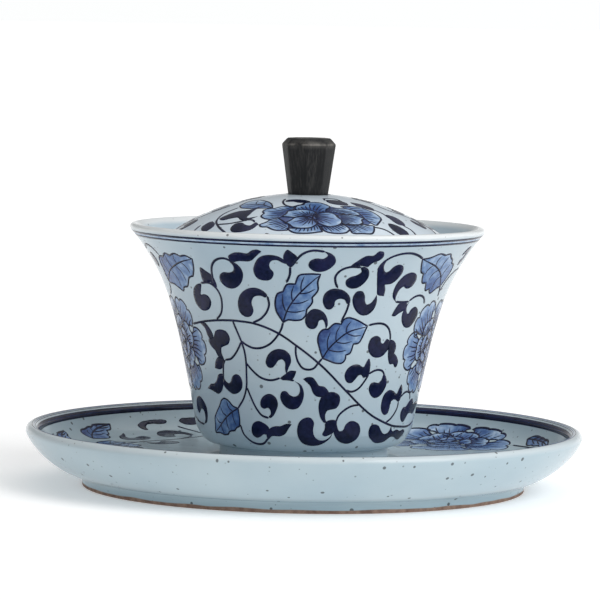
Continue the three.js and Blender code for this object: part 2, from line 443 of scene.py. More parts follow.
class Painting:
    """What is painted on one piece: a layer of light blue wash and one of dark line."""

    def __init__(self, surface, tight_below=-math.inf):
        self.surface = surface
        self.tight_below = tight_below
        self.layers = {"wash": ([], [], []), "line": ([], [], [])}
        self.count = 0

    def lift(self, ink):
        self.count += 1
        base = WASH_LIFT if ink == "wash" else LINE_LIFT
        return base + LAYER_STEP * (self.count % LAYER_STEPS)

    def add(self, ink, flat, faces, tints, extra=0.0):
        points, all_faces, all_tints = self.layers[ink]
        start = len(points)
        lift = self.lift(ink) + extra
        points += [self.surface(x, y, lift) for x, y in flat]
        all_faces += [[start + i for i in face] for face in faces]
        all_tints += tints

    def fill(self, ink, outline, tint=None, extra=0.0):
        tight = min(p[1] for p in outline) < self.tight_below
        coords, faces = triangles(outline, TIGHT_SPACING if tight else FILL_SPACING)
        tints = [tint(p) if tint else 0.5 for p in coords]
        self.add(ink, [tuple(p) for p in coords], faces, tints, extra)

    def line(self, points, width, closed=False, ends=(1, 1), extra=0.0):
        """A stroke along sampled points. ends gives each end's width, 0 for a pointed one."""
        flat, faces = ribbon(points, width, closed, ends)
        self.add("line", flat, faces, [0.5] * len(flat), extra)

    def build(self, name, ink, material):
        points, faces, tints = self.layers[ink]
        piece = new_object(name, points, faces)
        tint = piece.data.attributes.new("tint", "FLOAT", "POINT")
        if len(tint.data) == len(tints):
            tint.data.foreach_set("value", tints)
        sheet = piece.modifiers.new("thickness", "SOLIDIFY")
        sheet.thickness = SHEET * MM
        sheet.offset = -1
        piece.data.materials.append(material)
        return piece


def ribbon(points, width, closed, ends):
    """The two edges of a stroke and the faces between them, with round or pointed ends."""
    lengths = [0.0]
    for a, b in zip(points, points[1:]):
        lengths.append(lengths[-1] + distance(a, b))
    total = lengths[-1] or 1
    count = len(points)
    flat = []
    for i, (x, y) in enumerate(points):
        x0, y0 = points[(i - 1) % count] if closed or i else points[i]
        x1, y1 = points[(i + 1) % count] if closed or i < count - 1 else points[i]
        along = math.hypot(x1 - x0, y1 - y0) or 1
        half = width / 2
        if not closed:
            s = lengths[i] / total
            half *= ends[0] + (1 - ends[0]) * min(1, 3 * s)
            half *= ends[1] + (1 - ends[1]) * min(1, 3 * (1 - s))
            near = min(lengths[i], total - lengths[i])
            half *= math.sqrt(min(1, (near + 0.02) / (width / 2)))
        nx = -(y1 - y0) / along * half
        ny = (x1 - x0) / along * half
        flat += [(x + nx, y + ny), (x - nx, y - ny)]
    faces = []
    for i in range(count if closed else count - 1):
        j = (i + 1) % count
        faces.append((2 * i + 1, 2 * j + 1, 2 * j, 2 * i))
    return flat, faces


def moved(points, move):
    """Drawn points put through a placement, with their corner marks kept."""
    result = []
    for p in points:
        x, y = move(p[0], p[1])
        result.append((x, y, *p[2:]))
    return result


def stay(x, y):
    return x, y


def shift(dx):
    return lambda x, y: (x + dx, y)


def put(from_x, from_y, to_x, to_y, turned=0.0, scale=1.0, mirror=False):
    """A placement that takes one point to another and turns and scales round it."""
    angle = math.radians(turned)
    c = math.cos(angle) * scale
    s = math.sin(angle) * scale
    flip = -1 if mirror else 1

    def place(x, y):
        dx = (x - from_x) * flip
        dy = y - from_y
        return to_x + c * dx - s * dy, to_y + s * dx + c * dy
    return place


def round_bowl(points):
    """Points typed as (degrees, height) on the flat sheet, in millimetres."""
    return [(p[0] * DEGREE, p[1], *p[2:]) for p in points]


def solid(painting, points, move):
    painting.fill("line", smooth(moved(points, move)))


def stem(painting, points, move):
    painting.line(smooth(moved(points, move), closed=False), STEM_WIDTH)


def redrawn(shape, change):
    """A leaf with every one of its lines put through a change."""
    return {
        "outline": change(shape["outline"]),
        "midrib": change(shape["midrib"]),
        "veins": [change(vein) for vein in shape["veins"]],
    }


def leaf(painting, shape, move):
    """A toothed leaf: blue wash, darker to one side of the midrib, an outline and veins."""
    outline = smooth(moved(shape["outline"], move))
    midrib = smooth(moved(shape["midrib"], move), closed=False)
    start = Vector(midrib[0])
    axis = Vector(midrib[-1]) - start
    reach = axis.length

    def tint(p):
        step = Vector(p) - start
        along = step.dot(axis) / reach / reach
        side = (axis.x * step.y - axis.y * step.x) / reach / reach
        return min(1, max(0, 0.72 - 0.4 * along + 0.8 * side))
    painting.fill("wash", outline, tint)
    painting.line(outline, LEAF_WIDTH, closed=True)
    painting.line(midrib, MIDRIB_WIDTH, ends=(1, 0.5))
    for vein in shape["veins"]:
        drawn = smooth(moved(vein, move), closed=False)
        painting.line(drawn, VEIN_WIDTH, ends=(1, 0.4))


# ---- Flowers -------------------------------------------------------------------------------

PEONY_LINES = 7  # hatch lines on a petal
LID_PETAL_LINES = 8
LID_PETAL_DEPTH = 1.5  # how fast a petal's colour deepens from its far edge
WIDEST_FAN = 1.5  # radians that hatch lines reach to either side of a petal's axis
HATCH_STEP = 0.4  # between the places tried along a hatch line
HATCH_STEPS = 60
SHORTEST_HATCH = 5  # of those places, or the line is left out


def petal(painting, outline, base, depth, hatched, layer, lines):
    """One petal: deep blue at its base, pale along its far edge, with fine dark lines."""
    centre = Vector(base)
    far = sorted((Vector(p) for p in outline), key=lambda p: -(p - centre).length)
    far = far[:max(4, len(far) // 2)]
    near = Vector(min(outline, key=lambda p: (Vector(p) - centre).length))
    size = (far[0] - near).length

    def tint(p):
        edge = min((Vector(p) - q).length for q in far)
        return min(1, max(0, 0.15 + depth * edge / size))
    painting.fill("wash", outline, tint, layer)
    painting.line(outline, PETAL_WIDTH, closed=True, extra=layer)
    if hatched:
        hatch(painting, outline, centre, layer, lines)


def hatch(painting, outline, centre, layer, lines):
    """Fine lines that fan out over a petal from its base, every other one shorter."""
    middle = sum((Vector(p) for p in outline), Vector((0, 0))) / len(outline)
    axis = math.atan2(middle.y - centre.y, middle.x - centre.x)
    turns = []
    for p in outline:
        turned = math.atan2(p[1] - centre.y, p[0] - centre.x) - axis
        turns.append((turned + math.pi) % TAU - math.pi)
    low, high = max(min(turns), -WIDEST_FAN), min(max(turns), WIDEST_FAN)
    for k in range(1, lines + 1):
        angle = axis + low + (high - low) * k / (lines + 1)
        ray = Vector((math.cos(angle), math.sin(angle)))
        steps = [centre + ray * (HATCH_STEP * i) for i in range(HATCH_STEPS)]
        within = [p for p in steps if inside(tuple(p), outline)]
        if len(within) < SHORTEST_HATCH:
            continue
        start = within[0].lerp(within[-1], 0.08)
        end = within[0].lerp(within[-1], 0.66 + 0.16 * (k % 2))
        bow = (end - start).orthogonal() * 0.05
        points = [tuple(start), tuple(start.lerp(end, 0.5) + bow), tuple(end)]
        drawn = smooth(points, closed=False)
        painting.line(drawn, HATCH_WIDTH, ends=(1, 0.4), extra=layer)


def petal_outline(centre, heading, spread, inner, outer, lobes):
    """A broad petal with a few round lobes, by angles in radians about the centre."""
    points = []
    steps = lobes * 8
    shoulder = outer * 0.8
    for i in range(steps + 1):
        s = 2 * i / steps - 1
        scallop = abs(math.sin(math.pi * (s + 1) / 2 * lobes)) ** 0.45
        r = outer * (1 - 0.2 * abs(s) ** 2.5) * (0.92 + 0.08 * scallop)
        points.append(around(centre, heading + spread * s, r))
    for side in (1, -1):
        for t in ((0.75, 0.4) if side > 0 else (0.4, 0.75)):
            r = inner + (shoulder - inner) * t
            points.append(around(centre, heading + side * spread * (0.5 + 0.45 * t), r))
        if side > 0:
            points.append(around(centre, heading, inner * 0.9))
    return points


def around(centre, angle, radius):
    return centre[0] + radius * math.cos(angle), centre[1] + radius * math.sin(angle)


# Petals, inner and outer radius as shares of the flower's, half spread, lobes, depth of
# colour, hatched
PEONY_RINGS = (
    (6, 0.3, 1.0, 0.53, 3, 1.3, True),
    (5, 0.16, 0.56, 0.63, 2, 1.5, True),
    (4, 0.06, 0.32, 0.78, 2, 1.6, False),
    (2, 0.0, 0.14, 1.3, 1, 1.2, False),
)


def peony(painting, x, y, radius, turned, seed, move=stay):
    """A full flower seen from the front, its petals laid ring over ring."""
    chance = random.Random(seed)
    layer = 0.0
    for ring, (count, inner, outer, spread, lobes, depth, hatched) in enumerate(PEONY_RINGS):
        start = math.radians(turned + 31 * ring)
        for k in range(count):
            heading = start + TAU * k / count + chance.uniform(-0.06, 0.06)
            size = radius * outer * chance.uniform(0.95, 1.04)
            wide = spread * chance.uniform(0.96, 1.06)
            outline = petal_outline((x, y), heading, wide, radius * inner, size, lobes)
            outline = moved(outline, move)
            petal(painting, outline, move(x, y), depth, hatched, layer, PEONY_LINES)
        layer += RING_STEP


# ---- Shapes of the bowl's painting, as (degrees from the front, height) ---------------------

LEAF_B = {
    "outline": [
        (-9.5, 48.5, 1), (-12.3, 52), (-12.3, 54.5), (-11, 56.5), (-9, 57, 1), (-7.3, 59),
        (-4.2, 59.2, 1), (-2.5, 61.7), (0, 62), (5, 62, 1), (4.2, 60), (4.4, 57.5),
        (2.3, 55.5, 1), (2.5, 54.5), (0.3, 52.2, 1), (-0.2, 50.5), (-1.5, 49.5),
        (-4.5, 49.1), (-7.5, 49.2)],
    "midrib": [(-9.5, 48.5), (-7.5, 52), (-4, 55.5), (0, 58.5), (4.6, 61.6)],
    "veins": [
        [(-8.3, 51.5), (-9.3, 53.8), (-9.1, 56.4)], [(-5.5, 54.5), (-5.7, 56.6), (-4.7, 58.8)],
        [(-2, 57), (-2, 59), (-0.8, 61.4)], [(-7.8, 51.5), (-4, 51.4), (-0.3, 52)],
        [(-5.5, 53.8), (-2, 54), (1, 54.9)], [(-3, 56.5), (0.4, 56.8), (3.4, 57.9)]],
}
LEAF_C = {
    "outline": [
        (7.8, 38.8, 1), (6, 42), (5.3, 44), (6, 45.8), (7.5, 46.7), (9.5, 46.8, 1),
        (12.5, 48.4), (15, 48.2, 1), (16, 49.5), (18, 50), (20, 49.7), (27, 47.6, 1),
        (26, 45.8), (25, 44), (24, 43), (21.5, 42.7, 1), (20, 40), (18.5, 39.7, 1),
        (18.2, 38.3), (17, 37.5), (14.5, 37.4), (10, 38.3)],
    "midrib": [(7.8, 38.8), (10.5, 41.5), (13.5, 43.5), (18, 45.8), (26.4, 47.4)],
    "veins": [
        [(10, 41), (9.6, 43.5), (10.6, 46)], [(13.3, 43.5), (13.3, 45.8), (14.7, 47.8)],
        [(17.5, 45.7), (17.8, 47.6), (19.3, 49)], [(10.3, 41.1), (14.5, 40.6), (18.6, 41)],
        [(13.5, 43.3), (17, 42.9), (20.7, 43.4)], [(18, 45.6), (21.5, 44.9), (24.8, 45.1)]],
}
LEAF_D = {
    "outline": [
        (44, 65.8, 1), (48, 66.2), (52, 67.1), (56, 66.6, 1), (59, 66.8), (61, 65.8, 1),
        (63.5, 65), (65, 64, 1), (67.5, 63.5), (68.8, 62), (68, 60), (65.5, 57.5, 1),
        (63, 57.2), (58, 56), (56.5, 57.2, 1), (54.3, 56.8), (52.5, 59, 1), (50, 59.1),
        (49, 60.2), (48.3, 61.8, 1), (47, 62), (45.5, 63.5)],
    "midrib": [(65.5, 57.5), (60, 61.3), (55, 63.2), (49, 64.7), (44.6, 65.7)],
    "veins": [
        [(62, 60), (62.6, 62), (64.4, 63.7)], [(58, 62.2), (58.2, 64.4), (59, 66)],
        [(53.5, 63.7), (53, 65.4), (54, 66.5)], [(61, 60.6), (58.8, 59.2), (58.6, 57)],
        [(57, 62.5), (54.4, 61.4), (53.4, 59.6)], [(52, 64), (50, 62.8), (49.4, 61.2)]],
}
LEAF_A = {
    "outline": [
        (-44.5, 64.8, 1), (-47.5, 65.6), (-50.5, 65.3, 1), (-53, 65.9), (-57, 65.2, 1),
        (-59.5, 65.7), (-63, 64.6, 1), (-66.5, 64.5), (-69, 63), (-70, 60), (-70, 57.5, 1),
        (-69, 57.2), (-65, 57), (-61, 56, 1), (-58.5, 55.4), (-57, 56.5, 1), (-54, 56.9),
        (-52.5, 58, 1), (-51, 59.3), (-48, 60, 1), (-46, 62)],
    "midrib": [(-70, 57.5), (-64, 60.5), (-57, 62.5), (-50, 64), (-45, 64.7)],
    "veins": [
        [(-65, 60), (-66.3, 62), (-66, 64)], [(-60, 61.7), (-61, 63.6), (-60.5, 65.2)],
        [(-55, 63), (-55.4, 64.4), (-54.5, 65.6)], [(-62, 61), (-59.6, 59), (-59, 56.4)],
        [(-57, 62.4), (-54.5, 60.8), (-53.6, 58.2)], [(-52, 63.5), (-50, 62.4), (-49, 60.6)]],
}
LEAF_E = {
    "outline": [
        (-35, 24, 1), (-38, 24.5), (-41, 26), (-43.5, 26.4), (-45.5, 25.8, 1), (-47, 24.5),
        (-50, 22.5, 1), (-52.5, 20.5), (-53, 18.5), (-54, 16.4, 1), (-50, 16.6),
        (-47, 16.2), (-44, 16.4, 1), (-42, 17.3), (-38.5, 17.7, 1), (-37, 18.6),
        (-35.2, 19, 1), (-34.8, 20)],
    "midrib": [(-35, 24), (-40, 22.5), (-46, 20), (-50, 18), (-53.6, 16.6)],
    "veins": [
        [(-38.5, 23), (-41, 24), (-42, 25.8)], [(-43, 21.5), (-45.6, 22.4), (-46.8, 24.1)],
        [(-47.5, 19.4), (-49.8, 19.7), (-51.2, 21)], [(-39, 22.8), (-38.6, 20.8), (-37.2, 19.2)],
        [(-43.5, 21.3), (-43.4, 19.2), (-42.2, 17.6)], [(-48, 19), (-47.6, 17.6), (-46.6, 16.6)]],
}
BOWL_LEAVES = (LEAF_A, LEAF_B, LEAF_C, LEAF_D, LEAF_E)

BOWL_STEMS = [
    [(-58, 46.3), (-50, 47.3), (-40, 48.1), (-30, 48.3), (-22, 47.8), (-12, 45.5), (-4, 42.2),
     (6, 37.5), (20, 29.8), (28, 25.8), (35, 23), (45, 20.5), (52, 19.3), (60, 18.7),
     (70, 18.4), (80, 19.2)],
    [(-32.5, 48.2), (-31, 45.5), (-29.3, 42.5), (-28.3, 40), (-28, 37), (-28.3, 34), (-29, 30),
     (-31, 27), (-35, 24)],
    [(-29.5, 42.8), (-27, 41.8), (-24, 41.1), (-20, 41.2), (-16, 42.3), (-12.5, 44.5),
     (-10.5, 46.5), (-9.5, 48.5)],
    [(-4.2, 42.2), (-4.2, 40), (-3, 37.5), (-1, 36), (1.5, 35.6), (4, 36), (6, 37.5), (7.8, 38.8)],
    [(65.5, 57.5), (67, 55.5), (67.3, 54.7)], [(67, 56), (70, 59.5), (75, 61.5), (80, 62)],
    [(-70, 57), (-72, 55), (-75, 53.7)],
    [(-41, 48.3), (-38, 50), (-36.5, 52.5), (-36.3, 55), (-37.5, 57), (-40, 58.3), (-45, 58.2)],
    [(-38, 58), (-37.5, 61), (-36, 63.5), (-33.5, 65), (-30, 65.6), (-27, 64.9)],
    [(-7.5, 59.5), (-6.2, 61.5), (-5.8, 64)],
    [(-5.8, 63.8), (-3.5, 66), (-1, 67.8), (2, 68.6), (6, 68.3)],
    [(-23, 48), (-19, 49.3), (-16.5, 51), (-15, 53.3), (-15.4, 55.6)],
    [(17.4, 54.2), (16.5, 51.5), (15.3, 49.5), (15, 48.5)],
    [(12, 58.2), (11, 59.5), (10.6, 61.5), (12, 63), (15, 64), (19.6, 64)],
    [(44, 66), (41, 67), (37, 67.7), (33, 67.5), (29, 66.3), (26.8, 64.5), (26.2, 63)],
    [(38.5, 54.1), (43, 53.9), (46, 54)],
    [(57, 53), (55.5, 54.5), (52, 55.5), (49, 55.3), (46, 54.2)],
    [(27.5, 47.8), (31, 48.2), (35, 48), (38, 46.8), (39.7, 45), (40.3, 43.5)],
    [(31.3, 34.3), (29, 32), (26.5, 30.3), (23, 29.5), (20, 29.9)],
    [(31.3, 34.3), (33.5, 35), (36, 35.3), (39, 34.8), (40.4, 33.8)],
    [(54, 26), (54, 24.5), (52, 22.5), (49, 21), (46.5, 20.4)],
    [(55.5, 27.2), (58, 28.2), (61, 28.4), (64, 27.8), (65.5, 26)],
    [(28, 25.8), (24, 25.5), (20, 24.3), (17.2, 22.7), (16.2, 21)],
    [(-5, 32.5), (-8, 32.8), (-11, 32.8)],
    [(-28, 36.8), (-25, 34.8), (-21, 33), (-16, 32.4), (-11.5, 33.1)],
    [(-28.7, 30), (-27, 27.5), (-24.5, 24.5), (-21.5, 22.5), (-18, 21.9)],
    [(-34.5, 19.5), (-33, 17), (-30, 15.2), (-26, 14.4), (-22, 14.7), (-19, 16.2)],
    [(-42.2, 32), (-41.5, 34.5), (-40.5, 36.5), (-39.5, 37.2)],
    [(-29.5, 42.5), (-31, 41), (-33.5, 39), (-36, 37.7), (-39.5, 37.2)],
    [(-65, 18.2), (-72, 18.5), (-78, 19.5)], [(-80, 66), (-74, 67.5), (-69, 67), (-66, 65)],
]

BOWL_CURLS = [
    [(-47, 57.8), (-50.5, 56.3), (-52, 54), (-51.5, 52), (-49, 50.6), (-46, 50.5), (-43.3, 51.5),
     (-42, 53.3), (-43, 54.7), (-45, 55.1), (-47, 54.9), (-46.3, 56), (-45, 58)],
    [(-43, 58.5), (-43.2, 61), (-42.3, 62.6), (-39.5, 61.5), (-38, 60.8), (-37.2, 57.3),
     (-39.5, 58.6)],
    [(-26, 64.5), (-24.5, 63.5), (-23.8, 62), (-24.5, 60), (-26.5, 58.2), (-30, 57.2),
     (-33, 57.8), (-34.5, 59.3), (-34, 60.8), (-32, 61.7), (-29.5, 61.7), (-27.5, 62.3),
     (-27, 63.6), (-28, 64.8)],
    [(-28, 66), (-25.5, 67.3), (-23, 67.5), (-20.5, 67.3), (-18.5, 68.2), (-16.5, 68.5),
     (-15.2, 68, 1), (-17.5, 66.5), (-19.5, 65.3), (-24.5, 65), (-27, 64.7)],
    [(-6.6, 64.6), (-9.5, 66.7), (-13, 67.1), (-16, 66.5), (-18.5, 64.5), (-19.5, 62.3),
     (-18.5, 60.5), (-16, 59.9), (-13.5, 60.2), (-12.2, 61.3), (-12, 62.3), (-13, 63.3),
     (-13.2, 64.3), (-12.3, 65.4), (-10.5, 65.7), (-8.2, 64.9)],
    [(-8, 65.8), (-7.7, 67.5), (-6.3, 68.7), (-5, 68), (-3.3, 66.8), (-5.8, 63.8)],
    [(7.5, 68), (9.5, 66.8), (10, 65.5), (8.5, 63.8), (5.5, 62.7), (2.5, 62.9), (0.6, 64.3),
     (1, 65.6), (3, 66.4), (5.8, 66.4), (7, 67.3), (5.6, 68.4)],
    [(-15.4, 55.8), (-16.5, 56.8), (-20, 57.8), (-24, 57.2), (-27.3, 55.3), (-28.7, 52.5),
     (-28, 50.5), (-26, 49.6), (-23.5, 49.8), (-22, 51.2), (-22.3, 53.7), (-21, 55.2),
     (-18, 55.6), (-16, 55.2)],
    [(-0.3, 48.7), (0.5, 51), (2.5, 52.3), (5, 52.3), (7.5, 51.3), (9, 49.5), (9.2, 47.8),
     (8.5, 46.7, 1), (8, 48.3), (7, 49.4), (5.5, 49.1), (5, 47.9), (4, 47), (2.5, 46.8),
     (0.8, 47.3)],
    [(6.5, 55), (7.5, 57), (10, 58), (13, 57.9), (16, 56.8), (17.7, 55), (17.6, 54),
     (16.5, 53.8), (15.5, 54.8), (13, 55.2), (11.6, 54.6), (11.3, 53.2), (10, 52.3),
     (8.5, 52.3), (7, 53.5)],
    [(20, 64.1), (22.3, 63.5), (23.3, 61.5), (22, 59.5), (19.5, 58.2), (17, 58.1), (15, 59),
     (14.7, 60.3), (16, 61.2), (18.5, 61.8), (20, 62.8), (19.4, 63.8)],
    [(15.5, 64.2), (18, 66), (20.5, 67.2), (23, 67.3), (24.3, 68.4), (26, 68.3), (26.7, 66.8),
     (25.5, 65.8), (23.5, 65.2), (22, 64, 1), (19, 64.4)],
    [(18.5, 55.5), (20, 57.3), (22, 57.3), (23.5, 56), (24, 54.5), (25, 53.6), (26.5, 53.9),
     (28, 55.3), (28.6, 56.2, 1), (29.3, 54.5), (28.7, 52.3), (26.5, 50.8), (23.5, 50.6),
     (20.5, 52), (18.8, 54)],
    [(26.8, 61), (28, 58), (28.8, 56.3), (32, 55.8, 1), (31.8, 57.8), (31, 59, 1), (34, 59.3),
     (36.3, 60.8), (37.2, 62.5), (36.5, 64), (34.5, 64.6), (32.3, 64), (31, 62.8),
     (30, 62.5), (28.7, 63.3), (28.2, 64.8), (28.7, 66), (26.9, 64.5), (26.2, 63)],
    [(45.7, 59.8), (45, 61.3), (42.5, 62.2), (39.5, 61.8), (37, 60), (35.9, 57.5), (36.5, 55.3),
     (38.7, 54, 1), (38, 55.2), (38.1, 56), (39, 57.7), (40.3, 58.3), (41.5, 57.8),
     (43, 57.7), (45, 58.5)],
    [(41, 53.7), (39.2, 52), (38.2, 50.3, 1), (39.5, 50), (42, 50.8), (44.5, 51.7), (45.7, 53),
     (43.5, 54)],
    [(45.3, 53), (44, 50.5), (45, 48.3), (47.5, 46.8), (50.5, 46.7), (53, 48), (54.3, 50),
     (53, 51.8), (51, 52.4), (49, 51.9), (47.5, 50.5), (46, 51.5), (45.7, 52.8), (46.3, 53.9)],
    [(28.8, 42.5), (30, 44.3), (32.5, 44.8), (34.8, 44), (35.5, 42.8), (36.5, 42.6),
     (38.2, 43.8), (40.2, 43.2), (40.6, 41.5), (39.5, 40.4), (37, 39), (34.5, 38.7), (32, 39),
     (29.5, 40.5)],
    [(40.3, 43.5), (43.5, 42.8), (44.7, 41.5), (44.3, 39.7, 1), (46.5, 38.6), (48, 37),
     (47, 35.7), (46, 35.8), (45, 36.6), (42.5, 36.7), (41.2, 38), (40.2, 40.3)],
    [(18.7, 34), (19.8, 35.8), (22.5, 36.9), (25, 37), (28, 36.3), (29, 37.5), (30.2, 38.6),
     (31, 37.8), (31.5, 35.5), (31.3, 34.3), (28.2, 33.3), (27.3, 34), (26, 34), (24.5, 33),
     (22.5, 31.9), (20.5, 32)],
    [(41.5, 33.3), (42.7, 31.5), (41.5, 29.3), (39, 27.8), (36, 27.5), (33.5, 28.5),
     (32.2, 30.2), (33, 31.6), (35, 31.9), (37.5, 31.7), (39, 32.5), (39.9, 34.2)],
    [(41.2, 26), (42.5, 28.5), (45, 29.4), (48, 29.2), (51.5, 28.3), (52.5, 29.5), (54, 30.7),
     (55, 30), (55.7, 28), (54.5, 26), (53, 26), (51.5, 26.5), (49.5, 26.6), (47.7, 25.9),
     (47.6, 24.5), (46.8, 22.9), (44.8, 22.5), (42.5, 23.3), (41.3, 24.8)],
    [(58, 22.7), (59.5, 24), (62.5, 24.2), (64.5, 25.2), (67, 26), (70, 26), (72, 24.8),
     (77, 25), (82, 24.5, 1), (79, 23), (75, 21.7), (70, 22), (67, 22), (65, 21), (62.5, 19.9),
     (60, 20.3)],
    [(35.5, 18.3), (36.5, 19.8), (39, 20.1), (42, 19.5), (44, 18.2), (46, 17.3), (48.5, 17.2),
     (50.5, 17.9), (51.5, 19.2, 1), (53, 17.8), (57, 18), (61, 17.5), (65, 17.7), (67, 16.8),
     (64, 15), (60, 15.2), (56, 16), (53, 16), (50, 15), (46, 14.6), (42, 14.8), (38.5, 15.8),
     (36, 17)],
    [(16.4, 20.8), (18.5, 18.6), (20.3, 18.8), (21.5, 20.3), (24, 21.3), (27, 21.1), (29.5, 20),
     (30.3, 18.3), (29, 16.3), (25, 15), (21, 15.2), (17.5, 16.3), (15.5, 18)],
    [(16.6, 21.4), (11, 21.1), (10.5, 19), (9.5, 17.6), (10.5, 17.2), (13, 17.5), (15.3, 18.2)],
    [(11.5, 29.4), (14.5, 29.4), (17.2, 28.3), (17.5, 26.7), (16, 25), (13.5, 24.6),
     (11.5, 24.3), (10.5, 23), (10.8, 21.8), (11.3, 21.1), (10.5, 20.9), (8.5, 22), (7.2, 24),
     (7, 26), (8, 28)],
    [(8.5, 28.1), (5, 28.5), (3.7, 29.5), (2.7, 31), (0.5, 32.3), (-0.8, 33, 1), (0.8, 33.5),
     (3.5, 33.5), (5.5, 32.3), (6.5, 31.4), (9.5, 30.9), (11.7, 29.2)],
    [(-3.5, 19), (-2.5, 21), (0, 22.2), (3.5, 22.2), (5, 21), (4.7, 19), (5.2, 17.5),
     (7.5, 16.2), (10, 16), (13, 16.7), (15, 18.2, 1), (14, 16.8), (11, 15.3), (7, 14.5),
     (3, 14.5), (-1, 15.3), (-3, 17)],
    [(-11.8, 28), (-10.8, 29.4), (-8.8, 29.5), (-7, 28.5), (-5, 28.1), (-3, 28.6), (-2.2, 30),
     (-2.8, 31.3), (-5, 32.5, 1), (-1.5, 31.2), (-0.3, 29), (-0.8, 27), (-3, 25), (-6, 24.5),
     (-9.5, 25.3), (-11.5, 27)],
    [(-11.5, 33), (-9, 34.3), (-7, 35.2), (-4, 35.2, 1), (-4.5, 34), (-5.5, 33), (-8.5, 32.5)],
    [(-8.6, 34.4), (-7.5, 36), (-6.4, 37.5), (-6.8, 39.5), (-9, 40.8), (-12, 41.1), (-15, 40.5),
     (-17.5, 38.8), (-18.2, 37), (-17, 35.9), (-15, 35.9), (-13.5, 36.8), (-12, 38),
     (-10.2, 38.2), (-9.1, 37.3), (-9.2, 36)],
    [(-17.4, 21.9), (-16, 22.3), (-14, 24), (-13, 26), (-14, 27.7), (-17, 28.6), (-20, 28),
     (-22, 26.3), (-21.7, 24.8), (-20, 24.4), (-18, 24.7), (-17, 24), (-16.9, 23),
     (-18, 22.2)],
    [(-28, 18.3), (-27, 20), (-24, 20.9), (-21.5, 20.6), (-18, 18.9), (-19.5, 17.2),
     (-21, 17.3), (-23, 16.6), (-25.5, 16.2), (-27.5, 17)],
    [(-18, 18.9), (-15, 19.7), (-12, 19.8), (-9, 20.5), (-6.2, 20.4, 1), (-8, 19), (-9.5, 17.7),
     (-12, 17), (-17, 16.8), (-19.2, 15.8), (-19.7, 17.4)],
    [(-31, 31.5), (-32, 33), (-34, 33.5), (-36.5, 32.7), (-37.8, 31.3), (-39, 30.8),
     (-40.5, 31.2), (-42, 32), (-42.6, 30.3), (-40, 28.7), (-37, 27.9), (-34, 28.3),
     (-31.5, 29.7)],
    [(-42.2, 33.1), (-45, 33), (-47, 31.3), (-49, 30.3), (-52, 30), (-55, 28.7, 1), (-50, 28),
     (-47, 27.5), (-44.5, 28.3), (-42.6, 30.3), (-41.6, 31.8)],
    [(-45, 43.3), (-43, 45), (-39.5, 45.6), (-36.5, 45), (-35.3, 43.5), (-36.3, 41.8),
     (-39, 41), (-40.8, 40.5), (-41.2, 39), (-40.2, 37.2), (-43.7, 38), (-45, 39.5),
     (-47, 40.5), (-48.5, 42), (-47, 43.3)],
    [(-52, 46.8, 1), (-49.5, 45.5), (-48.5, 43.5), (-47, 42.6), (-45, 43.4), (-46.5, 45.8),
     (-48.5, 47)],
    [(-43.5, 37.9), (-46, 36.5), (-47, 34.6, 1), (-43, 34.5), (-41, 35.5), (-40, 37.1)],
    [(-71.5, 23.5), (-70, 25), (-66, 26), (-61.5, 25), (-59, 23), (-59.5, 20.5), (-61, 19),
     (-65, 18.2, 1), (-62.3, 20), (-62.5, 22), (-65, 22.5), (-67, 21.8), (-69.5, 21),
     (-71.5, 22)],
    [(70.5, 66), (72, 68), (75.5, 68.3), (77, 66.5), (76, 64), (73, 63.2), (72.3, 64.6),
     (74.2, 65.4), (73.8, 66.6), (72, 66.2)],
    [(-78, 64), (-76, 65.3), (-73, 64.6), (-72.3, 62.6), (-74, 61.3), (-77, 61.8)],
]

BOWL_GROUPS = (  # (least, most) degrees of what is drawn again, and how far round it goes
    (-56, -8, 152),
    (10, 56, 196),
)


def middle_of(points, k=0):
    """The mean of the points' x, or of their y where k is 1."""
    return sum(p[k] for p in points) / len(points)


def bowl_turns(points):
    """Where a shape of the front is drawn: in its place, and again round the back."""
    places = [0]
    for low, high, turned in BOWL_GROUPS:
        if low < middle_of(points) < high:
            places.append(turned)
    return [shift(turned * DEGREE) for turned in places]


BOWL_FLOWERS = ((72, 4, 6), (-72.5, 9, -2), (178, 12, 0))  # degrees round, seed, turned
BOWL_FLOWER_HEIGHT = 40.6
BOWL_FLOWER_RADIUS = 14.2
# (height or radius, width) of each of a band's two dark lines
BOWL_BAND = ((70.75, 0.55), (69.75, 0.46))
SAUCER_BAND = ((75.0, 1.1), (73.6, 0.9))
BAND_STEPS = 480
BAND_END = 180.4  # degrees from the front, just past the back


def paint_bowl(surface):
    painting = Painting(surface, TIGHT_BELOW)
    for degrees, seed, turned in BOWL_FLOWERS:
        place = (degrees * DEGREE, BOWL_FLOWER_HEIGHT)
        peony(painting, *place, BOWL_FLOWER_RADIUS, turned, seed)
    for shape in BOWL_LEAVES:
        for move in bowl_turns(shape["outline"]):
            leaf(painting, redrawn(shape, round_bowl), move)
    for points in BOWL_STEMS:
        for move in bowl_turns(points):
            stem(painting, round_bowl(points), move)
    for points in BOWL_CURLS:
        for move in bowl_turns(points):
            solid(painting, round_bowl(points), move)
    band(painting, round_bowl, BOWL_BAND, tint=0.12)
    return painting


def level(place):
    """A line once round a piece, from the back to the back, with a little overlap."""
    whole = 2 * BAND_END
    return [(-BAND_END + whole * i / BAND_STEPS, place) for i in range(BAND_STEPS + 1)]


def band(painting, flatten, lines, tint):
    """Two dark lines round a piece, with a blue wash between them.

    On the saucer the wash's faces look into the porcelain, so its thickness goes outwards and
    it covers both lines where they overlap it.
    """
    edges = [flatten(level(place)) for place, _ in lines]
    flat = [p for pair in zip(*edges) for p in pair]
    faces = []
    for i in range(len(edges[0]) - 1):
        faces.append((2 * i + 1, 2 * i + 3, 2 * i + 2, 2 * i))
    painting.add("wash", flat, faces, [tint] * len(flat))
    for edge, (_, width) in zip(edges, lines):
        painting.line(edge, width)


